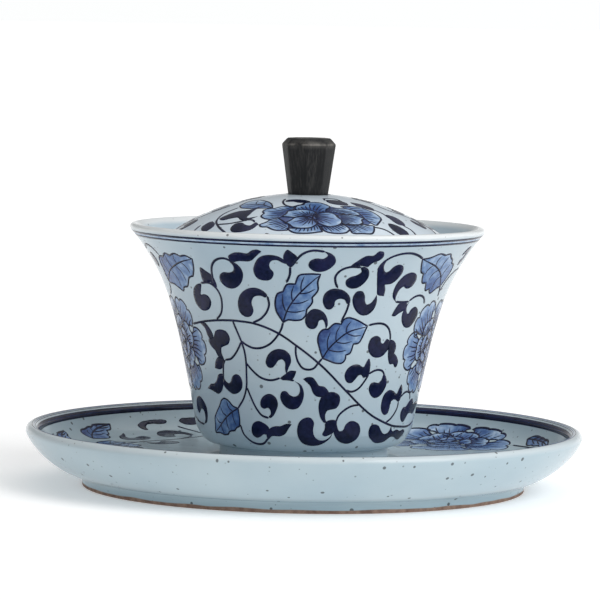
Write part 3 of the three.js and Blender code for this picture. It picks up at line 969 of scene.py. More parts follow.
# ---- The lid's painting, seen from above, with the front at the bottom ----------------------

LID_FLOWER = (1, -26.6)  # where the flower's dark lines run together
LID_GROUND_TINT = 0.95  # nearly the deepest blue
LID_FLOWER_GROUND = [
    (-10.5, -20.5), (-6, -20), (-2, -17.5), (3, -16.8), (8, -18.5), (13, -17), (18, -18.5),
    (18, -23), (15.5, -27), (15, -30), (9, -31.5), (3, -32.6), (-4, -32.6), (-9, -31),
    (-10.5, -28), (-10, -24)]
LID_PETALS = [  # each is drawn a little higher than the one before it
    [(9, -17, 1), (12, -15), (15, -14.5, 1), (18, -16), (20, -19), (19.5, -22, 1), (18.5, -24.6),
     (15.5, -22.5), (14.5, -20.5), (11, -18.4)],
    [(-3.5, -20, 1), (-5, -19), (-7, -18.6), (-9, -19.5, 1), (-11.5, -19.3), (-12.2, -20.5),
     (-11.8, -22, 1), (-12.6, -23.5), (-12, -25), (-10.5, -26.2), (-7.5, -26, 1), (-5.8, -24),
     (-5.5, -22.8), (-4, -21.4)],
    [(-8, -26.2, 1), (-10, -26.5), (-11, -27.5), (-13, -28.3, 1), (-12.7, -29.3),
     (-10.8, -30.2, 1), (-9.7, -31.5), (-8.5, -32.3), (-5.5, -32.8, 1), (-5, -31.5), (-5.2, -30),
     (-6.3, -28.6)],
    [(-3.5, -20.5, 1), (-3, -19), (-1.2, -18, 1), (-0.8, -16.5), (0.5, -15.8), (3, -15.6),
     (5, -17, 1), (6, -18.5), (5, -21), (5, -22.8, 1), (1.8, -23), (0, -22), (-3, -22)],
    [(5, -22, 1), (5.5, -20.5), (8, -19), (10.5, -18.2), (13, -19), (14.5, -20.5, 1),
     (13, -21.8), (9, -22.3)],
    [(8, -24, 1), (9.5, -22.8), (12, -22), (15.5, -22.5, 1), (14.7, -24), (15, -25.5, 1),
     (14, -27), (11, -28.3), (9, -28, 1)],
    [(9.5, -28.5, 1), (13, -27.5), (16, -26), (18, -25.5, 1), (18, -28), (17.5, -29.7),
     (15, -31), (12, -31.8), (11.5, -30.5)],
    [(-5.5, -32, 1), (-4, -33.8), (0, -34.4), (4, -33.4, 1), (2.5, -30.5), (1, -31.8),
     (-2, -32.2)],
    [(3, -31, 1), (5, -33.2), (8, -33.4), (10.5, -32.3), (11.5, -30.5, 1), (10, -29),
     (8.5, -29.5), (6, -30.8)],
    [(-7, -25.5, 1), (-5.8, -24), (-5.5, -22.8), (-3, -22), (0, -22), (1.8, -23), (2.3, -24.5),
     (0.5, -25.8), (-3, -26.5)],
    [(-6, -29.3, 1), (-4.5, -28), (-3.5, -26.8), (0, -26.2), (2, -28), (2.5, -30), (1, -31.8),
     (-2, -32.2), (-4, -31.5), (-5, -30)],
    [(1.3, -26.5, 1), (3, -24), (5, -23), (7.5, -23.7), (8, -25), (9.2, -26.5), (9.2, -28),
     (8, -29.8), (6, -30.8), (4, -30.2), (2, -28.8)],
]
LID_LEAF = {
    "outline": [(-9.6, -19, 1), (-12, -18), (-13.4, -17.4, 1), (-15, -16.6), (-16.4, -15.4, 1),
                (-18, -13.5), (-18.7, -10, 1), (-16, -7), (-14.4, -7, 1), (-13, -8.4),
                (-11.8, -10.6, 1), (-10.8, -12.6), (-9.8, -16)],
    "midrib": [(-9.6, -19), (-12.4, -14.8), (-15.2, -12), (-18.3, -10.2)],
    "veins": [
        [(-11, -16.6), (-13, -16.4), (-14.6, -16.4)],
        [(-13, -14.2), (-15, -14.2), (-16.8, -14)],
        [(-12, -15.2), (-11.9, -13.4), (-11.4, -11.8)],
        [(-14.2, -12.8), (-14, -10.6), (-13.6, -9)]],
}
LID_CURLS = [
    [(-6, -13), (-3, -12.5), (-0.5, -13.5), (0.7, -15), (-0.5, -16), (-2.5, -16), (-4, -14.8),
     (-6, -14.5)],
    [(-24, -17), (-22, -16), (-19, -15.8), (-16.2, -17), (-13, -16.6, 1), (-14.6, -18.6),
     (-15.6, -20.5), (-16.5, -22.5), (-13.5, -23.3, 1), (-17, -24.4), (-18.4, -22.6),
     (-19, -20.8), (-21, -20), (-23, -19.4)],
    [(-20.8, -26), (-19.5, -24.3), (-17.8, -24.8), (-16.8, -26.6), (-15.5, -27.6), (-14, -26.6),
     (-13.2, -28, 1), (-15, -29.8), (-18, -29.8), (-20.5, -28.2)],
    [(-28.6, -17.6), (-26.8, -16.6), (-25.4, -18.6), (-25.6, -21.4), (-27.4, -22.4),
     (-28.8, -20.4)],
    [(-11.2, -33), (-9, -34.6), (-5, -35.4), (-4, -36.6), (-9, -36.4), (-12.4, -35)],
    [(5, -12.2), (7.5, -11.2), (10.5, -12.4), (11, -14.6), (8.6, -15.8), (6, -15.2)],
    [(11.6, -11), (15, -10.4), (18, -12), (18.2, -13.8), (15.4, -14), (12.6, -12.8)],
    [(21.4, -14), (23.6, -13), (26, -14.6), (26.6, -17), (24.6, -18.4), (22.6, -16.8)],
    [(22, -20.6), (24.4, -19.6), (27.2, -21), (27.6, -23.6), (25, -24.8), (22.6, -23.2)],
    [(26.4, -26), (29, -25.6), (30.6, -27.4), (28.4, -29), (26.2, -28)],
]
LID_STEMS = [
    [(-6.2, -11), (-6.8, -14.5), (-5.8, -18), (-4, -19.3), (-1.5, -17.5), (-0.8, -15.8)],
    [(-19, -12), (-23, -14), (-24.8, -18), (-24.3, -22), (-22.5, -27), (-20.6, -31)],
    [(-24.4, -21), (-21.5, -23), (-17, -24.2)],
    [(-14.3, -26.4), (-14.8, -25), (-16.4, -24)],
    [(-29.2, -16), (-31, -18.4), (-30.6, -21.6), (-27.4, -22.8)],
    [(18, -26), (21, -25.4), (24.6, -27), (27.6, -28.6)],
    [(26, -17.6), (28.2, -18.2), (29.6, -20.6), (28.6, -23.4), (27.2, -23.6)],
    [(18, -13), (20.4, -14), (22.2, -16.2)],
    [(9.4, -11.6), (7.2, -9.6), (4.6, -10.4), (4.6, -12.8)],
]
# Copies of bowl shapes: (which, from x, from y, to x, to y, turned, scale, mirrored)
LID_SIDE_CURLS = [
    (0, -31, 54, -33, -8, 100, 0.8, False), (4, -10, 63, -31, 3, 60, 0.75, True),
    (9, 8, 55, -24, -3, 200, 0.7, False), (7, -14, 54, -16, -1, 20, 0.6, True),
    (8, 3, 50, 31, -8, 250, 0.8, True), (20, 24, 31, 24, -3, 80, 0.75, False),
    (10, 12, 61, 34, 2, 150, 0.75, False), (19, 16, 34, 15, -2, 0, 0.65, True),
]
LID_SIDE_STEMS = [
    [(-38, -4), (-33, -3.4), (-28, -5.4), (-22, -6), (-17, -3), (-13, -2)],
    [(37, -12), (33, -4.6), (28, -5), (22, -7.4), (17, -4.4), (12.4, -3.4)],
]


def paint_lid():
    painting = Painting(on_crown)
    for turned in (0, 180):
        place = put(0, 0, 0, 0, turned)
        layer = 0.0
        centre = place(*LID_FLOWER)
        ground = smooth(moved(LID_FLOWER_GROUND, place))
        painting.fill("wash", ground, lambda p: LID_GROUND_TINT)
        for points in LID_PETALS:
            outline = smooth(moved(points, place))
            layer += PETAL_STEP
            petal(painting, outline, centre, LID_PETAL_DEPTH, True, layer, LID_PETAL_LINES)
        leaf(painting, LID_LEAF, place)
        for points in LID_CURLS:
            solid(painting, points, place)
        for points in LID_STEMS + LID_SIDE_STEMS:
            stem(painting, points, place)
        for which, from_x, from_y, to_x, to_y, angle, scale, mirrored in LID_SIDE_CURLS:
            local = put(from_x, from_y, to_x, to_y, angle, scale, mirrored)
            solid(painting, moved(round_bowl(BOWL_CURLS[which]), local), place)
    return painting


# ---- The saucer's painting, seen from above, with the front at the bottom -------------------

SAUCER_LEAF_PLACES = [  # to x, to y, turned, scale: copies of one leaf of the bowl
    (62, 21, 250, 0.95), (-54, 34, 60, 1.05), (-62, 16, 100, 0.85), (-45, 21, 80, 0.9),
]
SAUCER_CURL_PLACES = [  # which curl of the bowl, to x, to y, turned, scale, mirrored
    (13, 64, 5, 70, 1.2, False), (0, 50, 4, 140, 1.15, True), (9, 57, -9, 80, 1.0, False),
    (7, 43, -11, 20, 1.0, False), (20, 66, -10, 200, 0.9, True), (8, 41, 10, 30, 0.9, False),
    (27, 13, 65, 250, 1.0, True), (16, 7, 55, 260, 1.1, False), (31, -5, 64, 200, 1.05, True),
    (17, -7, 50, 100, 1.0, True), (2, -17, 64, 250, 1.0, False), (11, -22, 53, 120, 1.0, True),
    (8, -30, 59, 60, 1.1, False), (16, -19, 40, 160, 0.9, True), (9, -32, 44, 30, 1.05, False),
    (7, -41, 50, 120, 0.95, True), (31, -42, 35, 200, 0.9, False), (20, -34, 27, 80, 0.9, True),
    (27, -55, 3, 20, 1.0, False), (2, -47, 6, 320, 0.95, True), (13, -66, 2, 90, 0.95, False),
]
CURL_GROWTH = 1.25  # the saucer's curls are broader than the bowl's
LEAF_C_MIDDLE = (11, 44)  # roughly, on the flat sheet
SAUCER_FLOWER = (36, 38.5, 19, 15)  # x, y, radius, turned
PATTERN_GROWTH = 1.18  # of the whole pattern, before it is drawn in at the rim
FITTED_FROM = 58  # radius from which it is drawn in
FITTED_ROOM = 14.5  # the most that it then reaches beyond that radius
SAUCER_STEMS = [
    [(24, 50), (14, 59), (2, 60), (-10, 57), (-22, 46), (-30, 36), (-40, 27), (-50, 14), (-60, 8)],
    [(-22, 46), (-28, 50), (-33, 52)], [(-40, 27), (-44, 26), (-47, 23)],
    [(2, 60), (6, 62), (9, 64)], [(-10, 57), (-14, 61), (-20, 62), (-25, 61)],
    [(52, 27), (55, 22), (60, 12), (61, 2), (58, -4)], [(58, 16), (52, 14), (46, 10), (42, 4)],
    [(-50, 14), (-54, 18), (-58, 18)], [(-30, 36), (-28, 44), (-31, 47)],
    [(60, 8), (63, 2), (66, -4)], [(-10, 57), (-8, 50), (-12, 44), (-17, 42)],
]


def fitted(move):
    """Follows a move with one that draws the pattern in where it nears the saucer's rim."""
    def placed(x, y):
        x, y = move(x, y)
        r = math.hypot(x, y)
        if r <= FITTED_FROM:
            return x, y
        nearer = (FITTED_FROM + FITTED_ROOM * math.tanh((r - FITTED_FROM) / FITTED_ROOM)) / r
        return x * nearer, y * nearer
    return placed


def paint_saucer(surface):
    painting = Painting(surface)
    for turned, seed in ((0, 3), (180, 8)):
        place = fitted(put(0, 0, 0, 0, turned, PATTERN_GROWTH))
        peony(painting, *SAUCER_FLOWER, seed, place)
        for to_x, to_y, angle, scale in SAUCER_LEAF_PLACES:
            local = put(*LEAF_C_MIDDLE, to_x, to_y, angle, scale)
            copy = redrawn(LEAF_C, lambda line: moved(round_bowl(line), local))
            leaf(painting, copy, place)
        for which, to_x, to_y, angle, scale, mirrored in SAUCER_CURL_PLACES:
            points = round_bowl(BOWL_CURLS[which])
            middle = (middle_of(points), middle_of(points, 1))
            size = scale * CURL_GROWTH
            local = put(*middle, to_x, to_y, angle, size, mirrored)
            solid(painting, moved(points, local), place)
        for points in SAUCER_STEMS:
            stem(painting, points, place)
    band(painting, round_dish, SAUCER_BAND, tint=0.9)
    return painting


def round_dish(points):
    """Points typed as (degrees, radius), seen from above."""
    result = []
    for degrees, radius in points:
        angle = math.radians(degrees)
        result.append((radius * math.sin(angle), -radius * math.cos(angle)))
    return result


# ---- Materials -----------------------------------------------------------------------------

class Nodes:
    """Short calls for building one material's nodes."""

    def __init__(self, name):
        self.material = bpy.data.materials.new(name)
        self.material.use_nodes = True
        self.tree = self.material.node_tree
        self.shader = self.tree.nodes["Principled BSDF"]
        self.place = self.new("ShaderNodeTexCoord").outputs["Object"]

    def new(self, kind, **inputs):
        node = self.tree.nodes.new(kind)
        for name, value in inputs.items():
            self.set(node.inputs[name.replace("_", " ")], value)
        return node

    def set(self, socket, value):
        if isinstance(value, bpy.types.NodeSocket):
            self.tree.links.new(value, socket)
        else:
            socket.default_value = value

    def noise(self, scale, detail=3.0, roughness=0.55, place=None):
        node = self.new("ShaderNodeTexNoise", Scale=scale, Detail=detail, Roughness=roughness)
        self.set(node.inputs["Vector"], place or self.place)
        return node.outputs["Fac"]

    def ramp(self, value, *stops):
        node = self.new("ShaderNodeValToRGB", Fac=value)
        ramp = node.color_ramp
        while len(ramp.elements) < len(stops):
            ramp.elements.new(0.5)
        for element, (position, colour) in zip(ramp.elements, stops):
            element.position = position
            element.color = (*colour, 1)
        return node.outputs["Color"]

    def mix(self, factor, a, b):
        node = self.tree.nodes.new("ShaderNodeMix")
        node.data_type = "RGBA"
        self.set(node.inputs["Factor"], factor)
        for socket, value in ((node.inputs[6], a), (node.inputs[7], b)):
            self.set(socket, (*value, 1) if isinstance(value, tuple) else value)
        return node.outputs[2]

    def math(self, operation, *values, clamp=False):
        node = self.tree.nodes.new("ShaderNodeMath")
        node.operation = operation
        node.use_clamp = clamp
        for socket, value in zip(node.inputs, values):
            self.set(socket, value)
        return node.outputs[0]

    def range(self, value, low, high, to_low=0.0, to_high=1.0):
        node = self.new("ShaderNodeMapRange", Value=value, From_Min=low, From_Max=high,
                        To_Min=to_low, To_Max=to_high)
        return node.outputs["Result"]

    def axes(self):
        split = self.new("ShaderNodeSeparateXYZ")
        self.set(split.inputs[0], self.place)
        return split.outputs

    def bump(self, height, strength, depth):
        node = self.new("ShaderNodeBump", Height=height, Strength=strength, Distance=depth)
        self.set(self.shader.inputs["Normal"], node.outputs["Normal"])

    def colour(self, value):
        self.set(self.shader.inputs["Base Color"], value)

    def put(self, **values):
        for name, value in values.items():
            self.set(self.shader.inputs[name.replace("_", " ")], value)


def rgb(r, g, b):
    """A colour typed as 0 to 255 display values, in the linear values that nodes take."""
    result = []
    for value in (r, g, b):
        v = value / 255
        result.append(v / 12.92 if v <= 0.04045 else ((v + 0.055) / 1.055) ** 2.4)
    return tuple(result)


def specks(nodes, scale, share, size):
    """1 on scattered iron specks of uneven size, 0 elsewhere."""
    cells = nodes.tree.nodes.new("ShaderNodeTexVoronoi")
    nodes.set(cells.inputs["Vector"], nodes.place)
    cells.inputs["Scale"].default_value = scale
    pick = nodes.new("ShaderNodeSeparateColor")
    nodes.set(pick.inputs[0], cells.outputs["Color"])
    chosen = nodes.math("LESS_THAN", pick.outputs[0], share)
    reach = nodes.math("MULTIPLY", pick.outputs[1], size)
    edge = nodes.math("SUBTRACT", reach, cells.outputs["Distance"])
    dot = nodes.range(edge, 0.0, size * 0.2)
    return nodes.math("MULTIPLY", dot, chosen, clamp=True)


GLAZE = rgb(196, 211, 219), rgb(180, 199, 211)  # where it lies thin and where it lies thick
GLAZE_GREY = rgb(182, 199, 206), rgb(168, 188, 198)
GLAZE_PALE = rgb(214, 225, 234), rgb(203, 216, 227)
# the darker tone that the glaze takes just above the bare foot
GLAZE_NEAR_FOOT = rgb(150, 176, 188)
GLAZE_CREAM = rgb(234, 236, 236)
SPECK = rgb(48, 48, 50)
SPECK_SIZES = (  # cells in a metre, share of them used, size within a cell, strength
    (540, 0.6, 0.18, 0.45), (300, 0.9, 0.2, 0.75), (110, 0.8, 0.08, 0.85),
)


def glaze(name, tones, rim, creamy, foot_top, foot_darkening, bare_height):
    """Pale celadon glaze: mottled, speckled, creamy at the rim, darker just above the foot and bare
    brown at the foot.

    rim, foot_top and bare_height are heights in metres; creamy, and the darkening towards the foot,
    are strengths.
    """
    nodes = Nodes(name)
    height = nodes.axes()["Z"]
    cloud = nodes.noise(28, 4)
    tone = nodes.mix(nodes.range(cloud, 0.3, 0.7), *tones)
    # darker towards the foot: strongest at bare_height, gone from foot_top up
    toward_foot = nodes.range(height, bare_height, foot_top, foot_darkening, 0)
    tone = nodes.mix(toward_foot, tone, GLAZE_NEAR_FOOT)
    uneven = nodes.math("ADD", height, nodes.range(nodes.noise(60), 0, 1, -4e-4, 4e-4))
    tone = nodes.mix(nodes.range(uneven, rim - 0.0018, rim - 0.0008, 0, creamy), tone, GLAZE_CREAM)
    for scale, share, size, strength in SPECK_SIZES:
        dots = specks(nodes, scale, share, size)
        tone = nodes.mix(nodes.math("MULTIPLY", dots, strength), tone, SPECK)
    wobble = nodes.range(nodes.noise(70, 1), 0.3, 0.7, -2e-4, 2e-4)
    bare = nodes.range(nodes.math("ADD", height, wobble), bare_height + 1e-4, bare_height - 1e-4)
    grain = nodes.ramp(nodes.noise(500, 3), (0.3, rgb(118, 92, 80)), (0.7, rgb(158, 132, 116)))
    nodes.colour(nodes.mix(bare, tone, grain))
    rough = nodes.range(nodes.noise(220, 3), 0.2, 0.8, 0.1, 0.2)
    nodes.put(Roughness=nodes.math("MAXIMUM", rough, nodes.math("MULTIPLY", bare, 0.85)))
    soft = nodes.noise(140, 2)
    grit = nodes.math("MULTIPLY", nodes.noise(1600, 3), nodes.math("MULTIPLY", bare, 0.4))
    nodes.bump(nodes.math("ADD", soft, grit), 0.35, 1.2e-4)
    nodes.put(IOR=1.5, Specular_IOR_Level=0.35)
    return nodes.material


def glaze_over(nodes, roughest, shine):
    """The clear glaze over painted colour: a slightly uneven gloss with soft ripples."""
    nodes.put(Roughness=nodes.range(nodes.noise(220, 3), 0.2, 0.8, 0.1, roughest), IOR=1.5,
              Specular_IOR_Level=shine)
    nodes.bump(nodes.noise(140, 2), 0.35, 1.2e-4)


def wash(name):
    """Thin cobalt under the glaze: pale where tint is 0, deeper blue where it is 1."""
    nodes = Nodes(name)
    tint = nodes.new("ShaderNodeAttribute")
    tint.attribute_name = "tint"
    cloud = nodes.range(nodes.noise(420, 4), 0.25, 0.75, -0.28, 0.28)
    amount = nodes.math("ADD", tint.outputs["Fac"], cloud)
    colour = nodes.ramp(amount, (0.0, rgb(190, 210, 230)), (0.35, rgb(122, 152, 192)),
                        (0.7, rgb(74, 106, 158)), (1.0, rgb(40, 62, 116)))
    nodes.colour(colour)
    glaze_over(nodes, roughest=0.2, shine=0.3)
    return nodes.material


def dark_cobalt(name):
    """Thick cobalt: near-black blue, with purplish patches where it is thinner."""
    nodes = Nodes(name)
    patch = nodes.range(nodes.noise(170, 4, 0.6), 0.42, 0.68)
    deep = nodes.mix(patch, rgb(8, 15, 38), rgb(32, 32, 66))
    fine = nodes.range(nodes.noise(900, 3), 0.3, 0.75, 0, 0.3)
    nodes.colour(nodes.mix(fine, deep, rgb(40, 52, 96)))
    glaze_over(nodes, roughest=0.22, shine=0.2)
    return nodes.material


def stained_wood(name):
    """Near-black stained wood with upright grain, paler along its edges: partly wear, partly a
    painted highlight where the edges catch the light.
    """
    nodes = Nodes(name)
    stretch = nodes.new("ShaderNodeMapping")
    nodes.set(stretch.inputs["Vector"], nodes.place)
    stretch.inputs["Scale"].default_value = (1, 1, 0.06)
    upright = stretch.outputs["Vector"]
    grain = nodes.noise(2600, 4, 0.6, upright)
    broad = nodes.noise(600, 3, 0.5, upright)
    fine_part = nodes.math("MULTIPLY", grain, 0.65)
    broad_part = nodes.math("MULTIPLY", broad, 0.35)
    blend = nodes.math("ADD", fine_part, broad_part)
    tone = nodes.ramp(blend, (0.34, rgb(5, 6, 8)), (0.5, rgb(20, 21, 23)), (0.66, rgb(54, 53, 52)))
    wear_and_highlight = nodes.new("ShaderNodeAttribute")
    wear_and_highlight.attribute_name = "wear_and_highlight"
    patchy = nodes.range(nodes.noise(500, 3), 0.35, 0.65)
    edge = nodes.math("MULTIPLY", wear_and_highlight.outputs["Fac"], patchy, clamp=True)
    # paler along the marked edges: wear, and a painted highlight where they catch the light
    nodes.colour(nodes.mix(nodes.math("MULTIPLY", edge, 0.75), tone, rgb(142, 138, 132)))
    nodes.put(Roughness=nodes.range(blend, 0.3, 0.7, 0.42, 0.7), Specular_IOR_Level=0.3)
    nodes.bump(blend, 0.7, 1.5e-4)
    return nodes.material


def metal(name, tone, shade, roughness):
    """Turned metal: fine rings round the axis and dull patches."""
    nodes = Nodes(name)
    rings = nodes.tree.nodes.new("ShaderNodeTexWave")
    rings.wave_type = "RINGS"
    rings.rings_direction = "Z"
    nodes.set(rings.inputs["Vector"], nodes.place)
    rings.inputs["Scale"].default_value = 900
    rings.inputs["Distortion"].default_value = 1.5
    patch = nodes.noise(700, 4)
    nodes.colour(nodes.mix(nodes.range(patch, 0.35, 0.65), tone, shade))
    nodes.put(Metallic=1.0, Roughness=nodes.range(patch, 0.3, 0.7, roughness, roughness + 0.18))
    nodes.bump(rings.outputs["Fac"], 0.3, 2e-5)
    return nodes.material


def silicone(name):
    """Milky rubber, slightly clouded, with a fine matt surface."""
    nodes = Nodes(name)
    cloud = nodes.noise(500, 4)
    nodes.colour(nodes.ramp(cloud, (0.3, rgb(214, 213, 204)), (0.7, rgb(232, 231, 224))))
    nodes.put(Roughness=nodes.range(cloud, 0.3, 0.7, 0.5, 0.68), Subsurface_Weight=0.15)
    nodes.bump(nodes.noise(2500, 2), 0.3, 3e-5)
    return nodes.material


# ---- Camera, floor and light ----------------------------------------------------------------

CAMERA_PLACE = (0, -1.12374, 0.13531)  # metres
CAMERA_TURN = (0.0741, -0.00153, 0.01739)  # pitch below level, yaw and roll, in radians
CAMERA_LENS = 243.7098  # millimetres, like the sensor
CAMERA_SENSOR = 36
FLOOR_REACH = 60  # metres each way
FLOOR_DROP = 2e-5  # below the saucer's foot


def camera():
    pitch, yaw, roll = CAMERA_TURN
    look = Vector((math.sin(yaw) * math.cos(pitch), math.cos(yaw) * math.cos(pitch),
                   -math.sin(pitch)))
    right = look.cross(Vector((0, 0, 1))).normalized()
    up = right.cross(look)
    right_tilted = math.cos(roll) * right + math.sin(roll) * up
    up_tilted = -math.sin(roll) * right + math.cos(roll) * up
    turned = Matrix((right_tilted, up_tilted, -look)).transposed()
    data = bpy.data.cameras.new("camera")
    data.sensor_width = CAMERA_SENSOR
    data.lens = CAMERA_LENS
    data.clip_end = 20
    piece = bpy.data.objects.new("camera", data)
    piece.matrix_world = Matrix.Translation(CAMERA_PLACE) @ turned.to_4x4()
    bpy.context.scene.collection.objects.link(piece)
    bpy.context.scene.camera = piece


def floor():
    far = FLOOR_REACH
    corners = [(-far, -far, 0), (far, -far, 0), (far, far, 0), (-far, far, 0)]
    piece = new_object("floor", corners, [(0, 1, 2, 3)], False)
    nodes = Nodes("floor_white")
    nodes.colour(nodes.mix(nodes.noise(3), (0.88, 0.88, 0.88), (0.9, 0.9, 0.9)))
    nodes.put(Roughness=0.9, Specular_IOR_Level=0.1)
    nodes.put(Emission_Color=(1, 1, 1, 1), Emission_Strength=0.3)
    piece.data.materials.append(nodes.material)
    piece.location.z = -FLOOR_DROP


def lamp(name, place, width, power):
    """Very wide, soft light from far away, coming from the side that place is on.

    width is the angle in degrees that it comes from.
    """
    data = bpy.data.lights.new(name, "SUN")
    data.angle = math.radians(width)
    data.energy = power
    piece = bpy.data.objects.new(name, data)
    piece.location = place
    piece.rotation_euler = (-Vector(place)).to_track_quat("-Z", "Y").to_euler()
    bpy.context.scene.collection.objects.link(piece)


def lights():
    """A white room that darkens upwards and is a little brighter on the right, and two lamps."""
    world = bpy.data.worlds.new("studio")
    bpy.context.scene.world = world
    world.use_nodes = True
    tree = world.node_tree
    sky = tree.nodes["Background"]
    place = tree.nodes.new("ShaderNodeTexCoord")
    split = tree.nodes.new("ShaderNodeSeparateXYZ")
    wall = tree.nodes.new("ShaderNodeMapRange")
    fade = {"From Min": 0.02, "From Max": 0.2, "To Min": 1.0, "To Max": 0.3}
    for name, value in fade.items():
        wall.inputs[name].default_value = value
    tree.links.new(place.outputs["Generated"], split.inputs[0])
    tree.links.new(split.outputs["Z"], wall.inputs["Value"])
    side = tree.nodes.new("ShaderNodeMath")
    side.operation = "MULTIPLY_ADD"
    side.inputs[1].default_value = 0.06
    tree.links.new(split.outputs["X"], side.inputs[0])
    tree.links.new(wall.outputs["Result"], side.inputs[2])
    tree.links.new(side.outputs[0], sky.inputs["Strength"])
    sky.inputs["Color"].default_value = (0.99, 1, 1, 1)
    lamp("key", place=(0.9, -0.8, 0.8), width=40, power=1.6)
    lamp("top", place=(0.2, 0.1, 1), width=80, power=0.9)
    bpy.context.scene.view_settings.view_transform = "Standard"


# ---- The pieces ------------------------------------------------------------------------------

def porcelain(name, profile, slot, material):
    shell = turn(name + "_shell", profile)
    finish_piece(shell, name, slot, material, name)


def painted(name, painting, blue, dark):
    for ink, material in (("wash", blue), ("line", dark)):
        piece = painting.build(f"{name}_painting_{ink}", ink, material)
        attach(piece, name)


def reach(node):
    """A turned CAD node's radius, lowest and highest height, in millimetres."""
    low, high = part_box(node)
    return high.x / MM, low.z / MM, high.z / MM


def round_ring(inner, outer, low, high, edge):
    """The section of a flat ring with rounded outer edges."""
    points = [(inner, low)]
    points += straight((inner, low), (outer - edge, low), 4)
    points += bezier((outer - edge, low), (outer - edge / 3, low), (outer, low + edge / 3),
                     (outer, low + edge), 5)
    points += straight((outer, low + edge), (outer, high - edge), 2)
    points += bezier((outer, high - edge), (outer, high - edge / 3), (outer - edge / 3, high),
                     (outer - edge, high), 5)
    points += straight((outer - edge, high), (inner, high), 4)
    points.append((inner, low))
    return points


def washers():
    radius, low, high = reach("seal_washer")
    seal = turn("seal_ring", round_ring(LID_HOLE, radius, low, high, 0.35), 128)
    finish_piece(seal, "lid", "seal_silicone", silicone("milky_silicone"), "seal_washer")
    radius, low, high = reach("screw_washer")
    plate = turn("steel_washer", round_ring(LID_HOLE, radius, low, high, 0.2), 128)
    steel = metal("washer_metal", rgb(176, 178, 180), rgb(150, 152, 156), 0.22)
    finish_piece(plate, "lid", "washer_steel", steel, "screw_washer")


def carve(piece, cutter):
    """Cuts one mesh out of another for good."""
    cut = piece.modifiers.new("cut", "BOOLEAN")
    cut.operation = "DIFFERENCE"
    cut.solver = "EXACT"
    cut.object = cutter
    graph = bpy.context.evaluated_depsgraph_get()
    mesh = bpy.data.meshes.new_from_object(piece.evaluated_get(graph))
    piece.modifiers.clear()
    piece.data = mesh
    bpy.data.objects.remove(cutter)


SCREW_HEAD = 2.3  # height
SCREW_CREST = 1.95  # radius over the thread
SCREW_ROOT = 1.62
SCREW_PITCH = 0.7
INSERT_BORE = 2.05
INSERT_PITCH = 0.85


def screw():
    """A cross-recess screw standing on its rounded head, its thread a stack of ridges."""
    radius, low, high = reach("knob_screw")
    shoulder = low + SCREW_HEAD
    profile = [(0, low)] + straight((0, low), (radius - 1.6, low), 6)
    profile += bezier((radius - 1.6, low), (radius - 0.5, low + 0.1), (radius, low + 0.6),
                      (radius, low + 1.3), 10)
    profile += straight((radius, low + 1.3), (radius, shoulder - 0.1), 2)
    profile += [(radius - 0.1, shoulder), (SCREW_CREST, shoulder)]
    z = shoulder
    while z < high - 1.4:
        profile += [(SCREW_CREST, z + 0.1), (SCREW_ROOT, z + 0.35), (SCREW_CREST, z + 0.6)]
        z += SCREW_PITCH
    profile += [(1.6, high - 0.5), (1.3, high), (0, high)]
    body = turn("screw_body", profile, 96)
    for quarter in (0, 90):
        carve(body, cross_bar("recess", 2.1, 0.5, low + 1.4, low - 1, quarter))
    body.data.set_sharp_from_angle(angle=math.radians(35))
    steel = metal("screw_metal", rgb(186, 188, 190), rgb(158, 160, 164), 0.2)
    finish_piece(body, "lid", "screw_steel", steel, "knob_screw")


def cross_bar(name, half_length, half_width, top, bottom, turned):
    """A bar with sides that lean in as it rises, for one stroke of a cross recess."""
    points = []
    for z, scale in ((bottom, 1.25), (top, 0.8)):
        for x, y in ((-1, -1), (1, -1), (1, 1), (-1, 1)):
            points.append((x * half_length * scale * MM, y * half_width * scale * MM, z * MM))
    faces = [(3, 2, 1, 0), (4, 5, 6, 7)]
    for k in range(4):
        j = (k + 1) % 4
        faces.append((k, j, 4 + j, 4 + k))
    bar = new_object(name, points, faces, False)
    bar.rotation_euler.z = math.radians(turned)
    bpy.context.view_layer.update()
    return bar


def insert():
    """A plain-bored sleeve with ridges round its outside."""
    radius, low, high = reach("knob_insert")
    corner = (INSERT_BORE, low)
    profile = [corner]
    profile += straight(corner, (radius - 0.2, low), 3) + [(radius, low + 0.2)]
    z = low + 0.2
    while z < high - 0.9:
        profile += [(radius, z + 0.3), (radius - 0.2, z + 0.42), (radius - 0.2, z + 0.62),
                    (radius, z + 0.74)]
        z += INSERT_PITCH
    profile += [(radius, high - 0.1), (radius - 0.1, high), (INSERT_BORE, high), corner]
    sleeve = turn("brass_sleeve", profile, 96)
    brass = metal("insert_metal", rgb(196, 164, 96), rgb(166, 134, 74), 0.28)
    finish_piece(sleeve, "lid", "insert_brass", brass, "knob_insert")


KNOB_TURN = -6  # degrees: one upright edge faces the front, a little to the left
KNOB_BOTTOM = 5.6  # radius to the corners
KNOB_WIDENING = 2.0  # added to it by the foot of the chamfer
KNOB_TOP = 6.0  # the same above the chamfer
KNOB_CHAMFER = 1.7  # height
KNOB_BORE = 3.1
KNOB_BORE_DEPTH = 9.4
KNOB_EDGE = 0.35  # softening of the edges


def knob():
    """An eight-sided peg that widens upwards, chamfered on top and bored from below."""
    low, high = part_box("knob")
    bottom, top = low.z / MM, high.z / MM
    rise = top - KNOB_CHAMFER - bottom
    levels = []
    for t in (0, 0.1, 0.3, 0.5, 0.7, 0.9, 1):
        levels.append((KNOB_BOTTOM + KNOB_WIDENING * t, bottom + rise * t))
    levels.append((KNOB_TOP, top))
    piece = eight_sided("knob_peg", levels)
    soften(piece)
    mark_wear_and_highlight(piece, top)
    start, end = bottom - 2, bottom + KNOB_BORE_DEPTH
    bore = turn("bore", [(0, start), (KNOB_BORE, start), (KNOB_BORE, end), (0, end)], 64)
    carve(piece, bore)
    piece.data.set_sharp_from_angle(angle=math.radians(40))
    finish_piece(piece, "lid", "knob_wood", stained_wood("dark_wood"), "knob")


